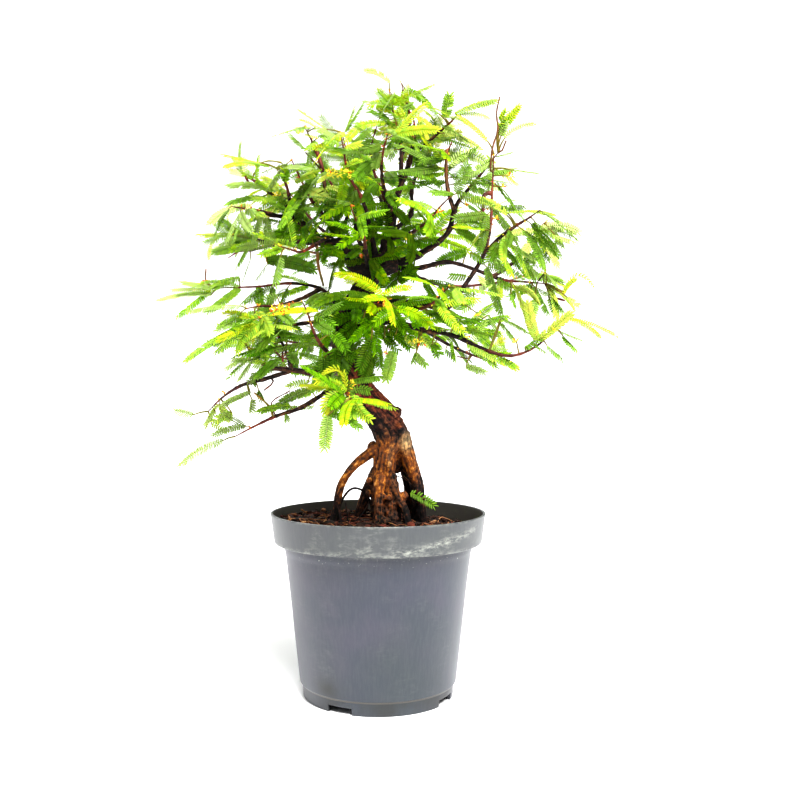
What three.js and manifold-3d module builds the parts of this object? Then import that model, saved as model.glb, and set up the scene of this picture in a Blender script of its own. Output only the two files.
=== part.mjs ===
// Calliandra pre-bonsai in a round plastic nursery pot.
// Millimetres, +Z up. The origin is the middle of the pot's foot, at floor level,
// +X is to the right of the photograph and -Y is towards its camera.
import * as THREE from 'three';
import { mergeVertices } from 'three/addons/utils/BufferGeometryUtils.js';
import Module from 'manifold-3d';

const wasm = await Module();
wasm.setup();

// Pot: a thin-walled cup with a wide collar under its rim, on a notched foot ring.
const RIM_RADIUS = 100;
const POT_HEIGHT = 168.7;
const WALL = 2.4;
const COLLAR_HEIGHT = 27.4;
const COLLAR_BASE = POT_HEIGHT - COLLAR_HEIGHT;
const COLLAR_FOOT_RADIUS = 96.4;
const SHOULDER_RADIUS = 87.4;
const BODY_FOOT_RADIUS = 72.8;
const FOOT_HEIGHT = 12.7;
const FOOT_RADIUS = 69.7;
const FOOT_WALL = 3.2;
const FLOOR_UNDERSIDE = 7;
const FLOOR_THICKNESS = 2.6;
const POT_EDGE = 0.8;
const POT_SIDES = 32;
const NOTCH_WIDTH = 24;
const NOTCH_HEIGHT = 6;
const NOTCH_ANGLES = [-119, -29, 61, 151];

// Soil: fills the pot, higher on the left, with a loose chippy top.
const SOIL_HEIGHT = 156.5;
const SOIL_SLOPE = -0.045;
const SOIL_BUMP = 1.3;
const SOIL_EDGE_DROP = 4;
const MOUND_HEIGHT = 2;
const MOUND_SPREAD = 2400;
const SOIL_SIDES = 24;
const SOIL_RINGS = [74, 38];

// Room left between solids that nearly touch.
const CLEARANCE = 0.35;

// Wood: the trunk's middle line from the root crown to the junction, and its radii.
const TRUNK = [
  [9, 4, 184], [8, 3, 205], [12, 2, 229], [8, 1, 252], [-6, 0, 269], [-21, -2, 289],
  [-31, -2, 312], [-32, 0, 336], [-23, 3, 359], [-12, 5, 381], [-4, 6, 401],
];
const TRUNK_RADII = [12, 12.5, 17, 16, 13.5, 11.5, 10.5, 10, 9.5, 10, 10.5];
const TRUNK_SIDES = 8;
const TRUNK_STEPS = 12;

// Limbs that start thicker than this get more sides.
const THICK_ROOT = 4;
const THICK_BRANCH = 4.4;

// Roots stand clear of the soil before they enter it: start radius, end radius, route.
const ROOTS = [
  [4.6, 3.6, [
    [2, 0, 229], [-8, 0, 223], [-24, -3, 210], [-34, -5, 195], [-38, -6, 178], [-42, -6, 146],
  ]],
  [2.2, 1.9, [[-39, 10, 145], [-35, 12, 176], [-24, 13, 188], [-13, 12, 187], [4, 8, 184]]],
  [8.5, 8, [[21, 4, 230], [29, 8, 209], [34, 10, 184], [41, 12, 143]]],
  [7, 7, [[7, -2, 206], [2, -5, 180], [0, -11, 143]]],
  [7.5, 7.5, [[11, 0, 207], [21, -2, 180], [24, -6, 143]]],
  [8, 8, [[9, 8, 214], [6, 18, 183], [2, 28, 143]]],
  [7, 7, [[17, 10, 218], [25, 23, 182], [31, 33, 143]]],
  [6, 5, [[0, 7, 207], [-13, 17, 179], [-21, 24, 143]]],
];

// Branches: name, start radius, radius where the leafy shoot begins, number of the last points
// that belong to the shoot, number of leaves on it, how young they are from 0 for dark old
// leaves to 1 for new yellow-green ones, and the route from inside the parent limb to the tip.
const BRANCHES = [
  ['left_upright', 4.7, 1.6, 2, 3, 0.5,
    [[-8, 6, 397], [-24, 0, 397], [-32, -8, 421], [-47, -18, 439], [-59, -26, 453], [-68, -34, 469],
      [-77, -40, 488]]],
  ['left_upright_stub', 2.7, 1.5, 2, 2, 0.8,
    [[-47, -18, 439], [-48, -24, 465], [-53, -28, 491], [-60, -32, 508], [-66, -36, 519]]],
  ['left', 3.9, 1.6, 2, 3, 0.7,
    [[-31, -9, 421], [-52, -4, 420], [-73, 2, 422], [-102, 8, 421], [-123, 12, 427], [-135, 14, 429],
      [-147, 16, 429]]],
  ['left_fork', 2.3, 1.4, 2, 2, 0.4,
    [[-88, 5, 422], [-111, 22, 419], [-124, 34, 418], [-137, 44, 418], [-149, 54, 413]]],
  ['left_high', 3.9, 1.8, 2, 3, 0.6,
    [[-52, -4, 420], [-66, -12, 434], [-79, -22, 441], [-80, -28, 455], [-83, -34, 468],
      [-91, -40, 481]]],
  ['left_high_outer', 2.7, 1.5, 2, 2, 0.5,
    [[-79, -22, 440], [-94, -34, 440], [-107, -46, 442], [-118, -56, 442], [-127, -66, 442]]],
  ['left_high_back', 2, 1.3, 2, 2, 0.8,
    [[-80, -27, 448], [-97, -18, 462], [-111, -8, 474], [-124, 0, 483], [-134, 8, 492]]],
  ['inner_back', 2.3, 1.4, 2, 2, 0.4,
    [[-36, -10, 426], [-27, 14, 456], [-40, 34, 475], [-51, 46, 493], [-60, 56, 509]]],
  ['upright_back', 3.1, 1.8, 3, 2, 0.6,
    [[-6, 8, 403], [-19, 24, 428], [-23, 42, 464], [-28, 58, 499], [-32, 66, 523], [-36, 72, 541]]],
  ['upright_front', 3.9, 1.8, 3, 3, 0.9,
    [[-2, 4, 403], [-7, -14, 428], [-14, -34, 454], [-27, -50, 475], [-30, -58, 493],
      [-33, -64, 507]]],
  ['upright_middle', 3.9, 1.9, 3, 3, 0.6,
    [[2, 8, 403], [9, 10, 432], [7, 6, 460], [-4, 4, 489], [-6, 2, 511], [0, 0, 533]]],
  ['leader', 5.1, 1.8, 2, 3, 0.5,
    [[2, 6, 405], [13, 0, 437], [17, -4, 461], [28, -8, 490], [33, -8, 513], [34, -8, 526],
      [32, -8, 540]]],
  ['leader_left', 2.5, 1.4, 2, 2, 0.9,
    [[20, -5, 471], [22, 6, 499], [20, 14, 526], [15, 20, 546], [11, 24, 569]]],
  ['leader_right', 1.9, 1.4, 2, 2, 0.5,
    [[31, -8, 502], [45, -18, 509], [58, -28, 519], [65, -36, 523], [71, -44, 528]]],
  ['leader_top', 1.9, 1.3, 2, 2, 0.7,
    [[21, 6, 499], [29, 24, 530], [31, 34, 548], [27, 43, 568], [23, 46, 584]]],
  ['inner_right', 2.8, 1.5, 2, 2, 0.5,
    [[11, 1, 430], [31, 18, 449], [33, 34, 477], [41, 48, 503], [52, 58, 523], [60, 66, 545]]],
  ['right_high', 4.3, 1.7, 2, 3, 0.6,
    [[-2, 7, 402], [23, 4, 403], [43, -8, 411], [64, -18, 427], [71, -24, 450], [83, -28, 466],
      [96, -32, 481], [108, -36, 496]]],
  ['right_high_upright', 2.3, 1.4, 2, 2, 0.3,
    [[70, -22, 445], [63, -38, 460], [60, -50, 477], [60, -58, 488], [64, -66, 498]]],
  ['right', 3.4, 1.5, 2, 3, 0.7,
    [[-4, 6, 399], [36, 14, 398], [67, 22, 405], [95, 28, 398], [120, 30, 389], [141, 30, 387],
      [162, 28, 385]]],
  ['right_upright', 2.3, 1.4, 2, 2, 0.4,
    [[110, 29, 391], [130, 22, 405], [144, 14, 423], [151, 10, 434], [158, 8, 441]]],
  ['right_front', 3.3, 1.5, 2, 3, 0.8,
    [[-21, 2, 363], [7, -24, 363], [39, -44, 359], [61, -58, 355], [75, -66, 373], [92, -66, 401],
      [98, -62, 427], [100, -58, 458], [102, -54, 490]]],
  ['right_front_side', 2, 1.3, 2, 2, 0.6,
    [[92, -66, 401], [104, -78, 413], [117, -86, 422], [126, -92, 427], [135, -96, 433]]],
  ['right_low', 3, 1.8, 3, 2, 0.9,
    [[-30, 0, 339], [13, -18, 345], [40, -30, 337], [68, -40, 331], [96, -46, 318], [118, -50, 313],
      [139, -54, 321], [159, -58, 341]]],
  ['right_low_inner', 2, 1.3, 2, 2, 0.4,
    [[42, -30, 337], [61, -8, 327], [83, 10, 318], [98, 20, 313], [110, 30, 309]]],
  ['right_back', 2.7, 1.8, 3, 2, 0.5,
    [[21, 9, 398], [46, 60, 392], [76, 92, 389], [111, 110, 393], [139, 116, 398], [163, 120, 405]]],
  ['low_left', 3.9, 1.9, 3, 3, 0.5,
    [[-31, -2, 306], [-55, -12, 299], [-79, -22, 301], [-100, -30, 304], [-113, -34, 315],
      [-119, -36, 324], [-126, -38, 333]]],
  ['low_left_hanging', 2.3, 1.7, 2, 2, 0.4,
    [[-80, -23, 300], [-104, -8, 293], [-130, 4, 286], [-148, 12, 275], [-162, 17, 262]]],
  ['lowest', 2.7, 1.7, 2, 2, 0.5,
    [[-29, -2, 292], [-50, -16, 279], [-71, -28, 266], [-92, -34, 259], [-113, -38, 249],
      [-128, -40, 241]]],
  ['low_left_front', 2, 1.3, 2, 2, 0.7,
    [[-79, -22, 301], [-81, -50, 316], [-86, -70, 329], [-92, -82, 337], [-99, -92, 343]]],
  ['middle_left', 2.3, 1.7, 3, 2, 0.6,
    [[-32, 0, 337], [-52, -10, 345], [-75, -16, 343], [-101, -16, 340], [-120, -14, 338],
      [-137, -10, 332]]],
  ['middle_left_high', 2, 1.5, 3, 3, 0.7,
    [[-31, 2, 350], [-51, 4, 376], [-81, 6, 383], [-111, 6, 380], [-130, 4, 379], [-151, 2, 378]]],
  ['middle_left_front', 2.2, 1.3, 2, 2, 0.9,
    [[-55, 4, 377], [-72, -40, 363], [-89, -62, 356], [-100, -74, 355], [-112, -84, 352]]],
  ['front', 3.5, 1.9, 3, 3, 1,
    [[-21, 0, 367], [-5, -40, 360], [3, -78, 355], [7, -100, 355], [9, -122, 357]]],
  ['front_low', 2.3, 1.4, 2, 3, 1,
    [[-30, -4, 320], [-30, -44, 293], [-27, -74, 281], [-25, -92, 278], [-23, -108, 276]]],
  ['front_left', 2.3, 1.7, 3, 3, 0.6,
    [[-35, -8, 308], [-49, -60, 321], [-55, -98, 335], [-57, -118, 345], [-60, -136, 353]]],
  ['front_right', 2.3, 1.7, 3, 3, 0.7,
    [[20, -36, 361], [36, -84, 352], [46, -116, 355], [51, -134, 360], [56, -150, 364]]],
  ['front_high', 3, 1.8, 3, 3, 0.5,
    [[-9, 2, 397], [-11, -50, 408], [-13, -92, 416], [-18, -116, 422], [-22, -134, 430]]],
  ['front_high_right', 2.5, 1.7, 3, 2, 0.6,
    [[9, 0, 424], [30, -56, 421], [44, -94, 427], [51, -114, 433], [58, -130, 438]]],
  ['front_high_left', 2.5, 1.7, 3, 2, 0.4,
    [[-37, -11, 429], [-56, -60, 409], [-65, -98, 398], [-71, -120, 397], [-78, -138, 397]]],
  ['front_top', 2.3, 1.4, 2, 2, 0.6,
    [[13, -4, 448], [5, -44, 464], [3, -74, 477], [5, -90, 487], [8, -102, 495]]],
  ['back', 3.5, 1.9, 3, 3, 0.5,
    [[-2, 10, 400], [8, 62, 420], [15, 104, 439], [19, 128, 453], [24, 148, 469]]],
  ['back_left', 3.3, 1.8, 3, 3, 0.6,
    [[-9, 10, 400], [-38, 60, 416], [-69, 98, 425], [-87, 120, 433], [-108, 138, 442]]],
  ['back_right', 2.8, 1.7, 3, 3, 0.6,
    [[5, 38, 413], [43, 74, 434], [77, 104, 453], [100, 120, 467], [123, 134, 480]]],
  ['back_top', 2.8, 1.7, 3, 2, 0.7,
    [[11, 2, 433], [2, 52, 474], [-4, 86, 506], [-6, 104, 526], [-11, 118, 545]]],
  ['back_low', 3.3, 1.8, 3, 2, 0.5,
    [[-21, 6, 367], [-26, 62, 372], [-31, 106, 372], [-34, 130, 372], [-37, 150, 374]]],
  ['back_low_left', 2.8, 1.7, 3, 3, 0.5,
    [[-32, 2, 325], [-60, 60, 328], [-91, 98, 332], [-112, 118, 337], [-136, 134, 342]]],
  ['back_low_right', 2.8, 1.7, 3, 3, 0.6,
    [[-28, 6, 350], [8, 58, 344], [48, 94, 344], [72, 112, 345], [96, 126, 348]]],
  ['back_lowest', 2.3, 1.4, 2, 2, 0.4,
    [[-30, 0, 309], [-36, 48, 302], [-44, 84, 298], [-52, 104, 298], [-60, 120, 298]]],
  ['back_middle', 2.3, 1.7, 3, 2, 0.5,
    [[-8, 8, 402], [-34, 34, 422], [-60, 62, 446], [-78, 90, 469], [-90, 106, 485], [-104, 120, 498]]],
  ['foot', 1.8, 1.3, 2, 1, 0.6, [[36, 9, 172], [37, -2, 177], [40, -9, 181], [44, -13, 182]]],
];

// Leaves: each has one pair of narrow feathered blades in a V on a short stalk.
const BLADE_LENGTH = 38;
const BLADE_HALF_WIDTH = 6.4;
const BLADE_LEAFLETS = 4;
const BLADE_TAPER = [0.72, 1, 0.85, 0.45];
const BLADE_TIP = 1.06;
const BLADE_DROOP = 0.15;
const BLADE_SPREAD = 0.55;
const LEAFLET_DROOP = 0.12;
const LEAFLET_LEAN = 0.95;
const NOTCH_REACH = 1.5;
const RIB_HEIGHT = 1.2;
const RIB_END = 0.9;
const STALK_LENGTH = 7;
const STALK_RADIUS = 0.9;
const TWIG_RADIUS = 1;
const LOW_LEAF_HEIGHT = 200;
const LOW_LEAF_SIZE = 0.62;
const YOUNG = 0.55;

// Where leaves sit, as shares of the shoot's length from its foot, and how they point. Each
// pair is a least or middle value and the spread that a draw adds to it.
const LEAF_STATIONS = [1, 0.6, 0.2];
const CROWN_MIDDLE_X = 5;
const LEAF_TURN = [1.15, 0.9];
const LEAF_SWING = 1.2;
const TIP_LEAF_SWING = 0.45;
const OUTWARD_PULL = 0.3;
const DROOP_AIM = 0;
const DROOP_SHARE = 0.45;
const DROOP_SPREAD = 0.5;
const FACE_OUTWARD = [0.5, 1.2];
const ROLL = 2.6;
const LEAF_SIZE = [0.72, 0.46];

// How the leaves of some shoots hang otherwise: a turn round the twig in radians, a lift of their
// heading and a share of the size.
const HANGS = {
  left_upright: [1, -0.5, 1],
  left_upright_stub: [-1, -0.5, 1],
  left: [-0.5, 0.25, 0.8],
  left_fork: [-0.5, 0.5, 1],
  left_high_outer: [-3, -0.5, 0.75],
  left_high_back: [1, 0.25, 0.65],
  inner_back: [-0.5, -0.5, 1],
  upright_front: [-1.5, -0.5, 1],
  upright_middle: [2.5, 0.5, 1],
  leader: [2, -0.5, 1],
  leader_top: [-1.5, -0.5, 1],
  right: [1, -0.5, 1],
  right_upright: [-0.5, -0.5, 0.8],
  right_front: [-2, -0.5, 1],
  right_front_side: [3, -0.5, 1],
  right_low: [2, 0.5, 1],
  right_low_inner: [-0.5, 0.5, 1],
  low_left: [0, 0.5, 1],
  low_left_hanging: [-2.5, 0, 1],
  lowest: [-0.5, 0.5, 1],
  middle_left: [-2, -0.25, 1],
  middle_left_high: [1.5, 0, 1],
  middle_left_front: [-2.5, -0.5, 1],
  front_high_left: [1, 0.5, 1],
  back_left: [-1.5, 0.5, 1],
  back_top: [-2, -0.5, 1],
  back_low_left: [-2.5, 0.5, 1],
  foot: [-1.5, 0.3, 1],
};

// Colours read by eye from the photograph.
const COLOURS = {
  pot: { color: 0x6a7079, roughness: 0.55, metalness: 0 },
  soil: { color: 0x3a2116, roughness: 0.95, metalness: 0 },
  bark: { color: 0x5b3420, roughness: 0.85, metalness: 0 },
  oldLeaf: { color: 0x2f7d14, roughness: 0.5, metalness: 0 },
  youngLeaf: { color: 0x8fd81e, roughness: 0.45, metalness: 0 },
};

const vec = (p) => new THREE.Vector3(p[0], p[1], p[2]);
const mix = THREE.MathUtils.lerp;

// A repeatable draw from 0 to 1 for a shoot, a leaf on it and a use.
function draw(shoot, leaf, use) {
  const wave = Math.sin(shoot * 127.1 + leaf * 311.7 + use * 74.7) * 43758.5453;
  return wave - Math.floor(wave);
}

// A closed triangle mesh from points and faces.
function meshOf(points, faces) {
  const geometry = new THREE.BufferGeometry();
  geometry.setAttribute('position', new THREE.Float32BufferAttribute(points.flat(), 3));
  geometry.setIndex(faces.flat());
  return geometry;
}

// The solid of a closed mesh, for joining and cutting.
function solidOf(geometry) {
  const bare = geometry.clone();
  bare.deleteAttribute('normal');
  bare.deleteAttribute('uv');
  const merged = mergeVertices(bare, 1e-4);
  return new wasm.Manifold(new wasm.Mesh({
    numProp: 3,
    vertProperties: new Float32Array(merged.attributes.position.array),
    triVerts: new Uint32Array(merged.index.array),
  }));
}

// The mesh of a solid.
function geometryOf(solid) {
  const { vertProperties, triVerts } = solid.getMesh();
  const geometry = new THREE.BufferGeometry();
  geometry.setAttribute('position', new THREE.Float32BufferAttribute(vertProperties, 3));
  geometry.setIndex(Array.from(triVerts));
  return geometry;
}

// A tapered limb along a smooth route, with flat ends square to it. The stretch can run from
// one of the route's points to another, be grown all round, for a hole, or start a little late.
function limb(route, radii, sides, steps, stretch = {}) {
  const { first = 0, last = route.length - 1, grow = 0, late = 0 } = stretch;
  const curve = new THREE.CatmullRomCurve3(route.map(vec));
  const points = [];
  const normal = new THREE.Vector3(0.3, -1, 0.2);
  for (let i = 0; i <= steps; i++) {
    const knot = mix(first, last, i / steps) / (route.length - 1);
    const tangent = curve.getTangent(knot);
    const middle = curve.getPoint(knot);
    if (i === 0) middle.addScaledVector(tangent, late - grow);
    if (i === steps) middle.addScaledVector(tangent, grow);
    normal.addScaledVector(tangent, -normal.dot(tangent)).normalize();
    const binormal = new THREE.Vector3().crossVectors(tangent, normal);
    const place = (i / steps) * (radii.length - 1);
    const ring = Math.min(Math.floor(place), radii.length - 2);
    const radius = mix(radii[ring], radii[ring + 1], place - ring) + grow;
    for (let k = 0; k < sides; k++) {
      const turn = (k / sides) * 2 * Math.PI;
      points.push(middle.clone()
        .addScaledVector(normal, radius * Math.cos(turn))
        .addScaledVector(binormal, radius * Math.sin(turn)).toArray());
    }
  }
  const faces = [];
  for (let i = 0; i < steps; i++) {
    for (let k = 0; k < sides; k++) {
      const a = i * sides + k;
      const b = i * sides + ((k + 1) % sides);
      faces.push([a, b, b + sides], [a, b + sides, a + sides]);
    }
  }
  const end = steps * sides;
  for (let k = 1; k < sides - 1; k++) {
    faces.push([0, k + 1, k], [end, end + k, end + k + 1]);
  }
  return meshOf(points, faces);
}

// The pot: one turned wall with its floor, less the notches through the foot ring.
function pot() {
  const outline = [
    [0, FLOOR_UNDERSIDE],
    [FOOT_RADIUS - FOOT_WALL, FLOOR_UNDERSIDE],
    [FOOT_RADIUS - FOOT_WALL, 0],
    [FOOT_RADIUS, 0],
    [FOOT_RADIUS + POT_EDGE, FOOT_HEIGHT],
    [BODY_FOOT_RADIUS, FOOT_HEIGHT + POT_EDGE],
    [SHOULDER_RADIUS, COLLAR_BASE],
    [COLLAR_FOOT_RADIUS, COLLAR_BASE + POT_EDGE],
    [RIM_RADIUS, POT_HEIGHT],
    [RIM_RADIUS - WALL, POT_HEIGHT],
    [COLLAR_FOOT_RADIUS - WALL, COLLAR_BASE + WALL],
    [SHOULDER_RADIUS - WALL, COLLAR_BASE],
    [BODY_FOOT_RADIUS - WALL, FLOOR_UNDERSIDE + FLOOR_THICKNESS],
    [0, FLOOR_UNDERSIDE + FLOOR_THICKNESS],
  ].map(([r, z]) => new THREE.Vector2(r, z));
  const turned = new THREE.LatheGeometry(outline, POT_SIDES).rotateX(Math.PI / 2);
  let body = solidOf(turned);
  for (const angle of NOTCH_ANGLES) {
    const cutter = new THREE.BoxGeometry(4 * FOOT_WALL, NOTCH_WIDTH, 2 * NOTCH_HEIGHT);
    cutter.translate(FOOT_RADIUS - FOOT_WALL / 2, 0, 0);
    cutter.rotateZ(THREE.MathUtils.degToRad(angle));
    body = body.subtract(solidOf(cutter));
  }
  return body;
}

// Height of the soil's top: a gentle slope with a low mound in the middle and clods, which are
// a coarse and a finer wave.
function soilTop(x, y) {
  const coarse = Math.sin(0.21 * x + 1.3) * Math.cos(0.17 * y + 0.4);
  const fine = 0.6 * Math.sin(0.43 * x - 0.37 * y);
  const mound = MOUND_HEIGHT * Math.exp(-(x * x + y * y) / MOUND_SPREAD);
  return SOIL_HEIGHT + SOIL_SLOPE * (x + 0.4 * y) + SOIL_BUMP * (coarse + fine) + mound;
}

// Radius of the collar's inside at a height, less the clearance.
function insideRadius(z) {
  const rise = (z - COLLAR_BASE - WALL) / (COLLAR_HEIGHT - WALL);
  return mix(COLLAR_FOOT_RADIUS, RIM_RADIUS, rise) - WALL - 2 * CLEARANCE;
}

// The soil: fills the pot's inside and ends in the cloddy top, with holes where roots enter.
function soil(holes) {
  const floorTop = FLOOR_UNDERSIDE + FLOOR_THICKNESS + CLEARANCE;
  const edgeRadius = insideRadius(SOIL_HEIGHT - SOIL_EDGE_DROP);
  const rings = [
    () => [BODY_FOOT_RADIUS - WALL - 2 * CLEARANCE, floorTop],
    () => [SHOULDER_RADIUS - WALL - 2 * CLEARANCE, COLLAR_BASE],
    () => [COLLAR_FOOT_RADIUS - WALL - 3 * CLEARANCE, COLLAR_BASE + WALL + CLEARANCE],
    ...[edgeRadius, ...SOIL_RINGS].map((r) => (c, s) => [r, soilTop(r * c, r * s)]),
  ];
  const points = [];
  for (const ring of rings) {
    for (let k = 0; k < SOIL_SIDES; k++) {
      const turn = (k / SOIL_SIDES) * 2 * Math.PI;
      const [c, s] = [Math.cos(turn), Math.sin(turn)];
      const [r, z] = ring(c, s);
      points.push([r * c, r * s, z]);
    }
  }
  const bottom = points.push([0, 0, floorTop]) - 1;
  const top = points.push([0, 0, soilTop(0, 0)]) - 1;
  const faces = [];
  const last = (rings.length - 1) * SOIL_SIDES;
  for (let k = 0; k < SOIL_SIDES; k++) {
    const next = (k + 1) % SOIL_SIDES;
    for (let i = 0; i < rings.length - 1; i++) {
      const [a, b] = [i * SOIL_SIDES + k, i * SOIL_SIDES + next];
      faces.push([a, b, b + SOIL_SIDES], [a, b + SOIL_SIDES, a + SOIL_SIDES]);
    }
    faces.push([bottom, next, k], [top, last + k, last + next]);
  }
  let body = solidOf(meshOf(points, faces));
  for (const hole of holes) body = body.subtract(hole);
  return body;
}

// One root, or the hole that it needs when it is grown.
function rootLimb([start, end, route], grow = 0) {
  const sides = start > THICK_ROOT ? 6 : 4;
  return solidOf(limb(route, [start, end], sides, route.length - 1, { grow }));
}

// The tree's wood: trunk, roots and branches, grown as one piece.
function wood() {
  let body = solidOf(limb(TRUNK, TRUNK_RADII, TRUNK_SIDES, TRUNK_STEPS));
  for (const root of ROOTS) body = body.add(rootLimb(root));
  for (const [, start, end, shootPoints, , , route] of BRANCHES) {
    const last = route.length - shootPoints - 1;
    const sides = start > THICK_BRANCH ? 5 : 4;
    body = body.add(solidOf(limb(route, [start, end], sides, last, { last })));
  }
  return body;
}

// One leaf: a three-sided stalk that opens into a V of two feathered blades. Leaflets stand in
// opposite pairs, cut nearly to the raised rib. Every point is grown outwards by the given
// amount, to test the room round the leaf.
function leaf({ root, ahead, normal, size }, grow = 0) {
  const side = new THREE.Vector3().crossVectors(normal, ahead);
  const points = [];
  const faces = [];
  const put = (origin, forward, across, lift) => points.push(
    origin.clone().addScaledVector(forward[0], forward[1])
      .addScaledVector(across[0], across[1]).addScaledVector(normal, lift).toArray(),
  ) - 1;
  const thin = STALK_RADIUS + grow;
  const thick = RIB_HEIGHT + grow;
  const stalk = STALK_LENGTH * size;
  const stalkPoint = (forward, across, lift) => put(root, [ahead, forward], [side, across], lift);
  const stalkRing = (forward) => [
    stalkPoint(forward, 0, thick),
    stalkPoint(forward, thin, -grow),
    stalkPoint(forward, -thin, -grow),
  ];
  const start = stalkRing(0);
  const fork = stalkRing(stalk);
  const crotch = stalkPoint(stalk + 2 * STALK_RADIUS, 0, -grow);
  faces.push([start[0], start[1], start[2]], [fork[1], crotch, fork[2]]);
  for (const [a, b] of [[0, 1], [1, 2], [2, 0]]) {
    faces.push([start[a], fork[a], fork[b]], [start[a], fork[b], start[b]]);
  }
  const foot = root.clone().addScaledVector(ahead, stalk);
  for (const hand of [1, -1]) {
    const direction = ahead.clone().multiplyScalar(Math.cos(BLADE_SPREAD))
      .addScaledVector(side, hand * Math.sin(BLADE_SPREAD));
    const across = new THREE.Vector3().crossVectors(normal, direction);
    const length = BLADE_LENGTH * size;
    const at = (t, reach, lift) => put(
      foot,
      [direction, length * t],
      [across, reach],
      lift - BLADE_DROOP * length * t * t - LEAFLET_DROOP * Math.abs(reach),
    );
    const face = (...corners) => faces.push(hand > 0 ? corners : corners.reverse());
    const outer = fork[hand > 0 ? 1 : 2];
    const apex = at(BLADE_TIP, 0, 0);
    let notches = [outer, crotch];
    let spine = fork[0];
    for (let i = 0; i < BLADE_LEAFLETS; i++) {
      const isLast = i === BLADE_LEAFLETS - 1;
      const reach = hand * (BLADE_HALF_WIDTH * size * BLADE_TAPER[i] + grow);
      const inner = hand * (NOTCH_REACH * size + grow);
      const tip = (i + LEAFLET_LEAN) / BLADE_LEAFLETS;
      const tips = [at(tip, reach, -grow), at(tip, -reach, -grow)];
      const next = (i + 1) / BLADE_LEAFLETS;
      const ends = isLast ? [apex, apex] : [at(next, inner, -grow), at(next, -inner, -grow)];
      if (i % 2 === 0) {
        const crest = at(Math.min(next, RIB_END), 0, thick);
        face(spine, crest, notches[0]);
        face(spine, notches[1], crest);
        spine = crest;
      }
      face(spine, tips[0], notches[0]);
      face(spine, ends[0], tips[0]);
      face(spine, notches[1], tips[1]);
      face(spine, tips[1], ends[1]);
      face(notches[0], tips[0], ends[0]);
      face(notches[1], ends[1], tips[1]);
      face(notches[0], ends[0], notches[1]);
      if (!isLast) face(notches[1], ends[0], ends[1]);
      notches = ends;
    }
  }
  return solidOf(meshOf(points, faces));
}

// Where a leaf sits on its shoot and where it points: outwards, drooping, turned by its draws.
function leafPlace(index, number, curve, bend) {
  const station = LEAF_STATIONS[number];
  const root = curve.getPointAt(station);
  const tangent = curve.getTangentAt(station);
  const up = new THREE.Vector3(0, 0, 1);
  const outward = new THREE.Vector3(root.x - CROWN_MIDDLE_X, root.y, 0).normalize();
  const sideways = new THREE.Vector3().crossVectors(tangent, up);
  sideways.addScaledVector(outward, 0.05).normalize();
  const over = new THREE.Vector3().crossVectors(sideways, tangent);
  const hand = (number + index) % 2 === 0 ? 1 : -1;
  const [twist, lift, share] = HANGS[BRANCHES[index][0]] ?? [0, 0, 1];
  const turned = LEAF_TURN[0] + LEAF_TURN[1] * (draw(index, number, 1) - 0.5);
  const turn = hand * turned + twist + bend[0];
  const swing = station === 1 ? TIP_LEAF_SWING : LEAF_SWING;
  const ahead = tangent.clone()
    .addScaledVector(sideways, swing * Math.sin(turn))
    .addScaledVector(over, swing * Math.cos(turn))
    .addScaledVector(outward, OUTWARD_PULL)
    .normalize();
  ahead.z = mix(ahead.z, DROOP_AIM, DROOP_SHARE) - DROOP_SPREAD * draw(index, number, 2);
  ahead.z += lift + bend[1];
  ahead.normalize();
  const normal = up.clone()
    .addScaledVector(outward, FACE_OUTWARD[0] + FACE_OUTWARD[1] * draw(index, number, 3))
    .addScaledVector(sideways, ROLL * (draw(index, number, 4) - 0.5));
  normal.addScaledVector(ahead, -normal.dot(ahead)).normalize();
  const grown = LEAF_SIZE[0] + LEAF_SIZE[1] * draw(index, number, 5);
  const size = (root.z < LOW_LEAF_HEIGHT ? LOW_LEAF_SIZE : grown) * share;
  return { root, ahead, normal, size };
}

// Bends tried in turn until a leaf is clear of all that is already there: a turn round the
// shoot and a lift of the leaf's end.
const BENDS = [
  [0, 0], [0.5, 0.3], [-0.5, -0.3], [1, 0], [-1, 0], [0, 0.7], [0, -0.7], [1.6, 0.4], [-1.6, 0.4],
  [2.4, 0], [3.1, 0.6], [3.1, -0.6],
];

// Whether a solid cuts into any of the others, tried only where their boxes meet.
function overlaps({ solid, box }, others) {
  return others.some((other) => (
    box.intersectsBox(other.box) && !solid.intersect(other.solid).isEmpty()
  ));
}

// A solid with its box.
function boxed(solid) {
  const { min, max } = solid.boundingBox();
  return { solid, box: new THREE.Box3(vec(min), vec(max)) };
}

// The bare twig of a shoot: the green end of its branch, square to the wood and just clear of it.
function twig([, , radius, shootPoints, , , route]) {
  const first = route.length - shootPoints - 1;
  const radii = [radius * 0.9, TWIG_RADIUS];
  return solidOf(limb(route, radii, 3, shootPoints, { first, late: CLEARANCE }));
}

// The leaves of a shoot, each bent clear of the obstacles and of the leaves before it.
function leavesOf(index, obstacles) {
  const [name, , , shootPoints, count, , route] = BRANCHES[index];
  const curve = new THREE.CatmullRomCurve3(route.slice(-shootPoints - 1).map(vec));
  const leaves = [];
  for (let number = 0; number < count; number++) {
    const bend = BENDS.find((turns) => {
      const tester = boxed(leaf(leafPlace(index, number, curve, turns), CLEARANCE));
      return !overlaps(tester, obstacles) && !overlaps(tester, leaves);
    });
    if (!bend) throw new Error(`no room for leaf ${number} of ${name}`);
    leaves.push(boxed(leaf(leafPlace(index, number, curve, bend))));
  }
  return leaves;
}

const plant = new THREE.Group();

// Adds a solid to the plant as a named mesh with its own material.
function place(name, solid, look) {
  const mesh = new THREE.Mesh(geometryOf(solid), new THREE.MeshStandardMaterial(COLOURS[look]));
  mesh.name = name;
  plant.add(mesh);
}

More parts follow.
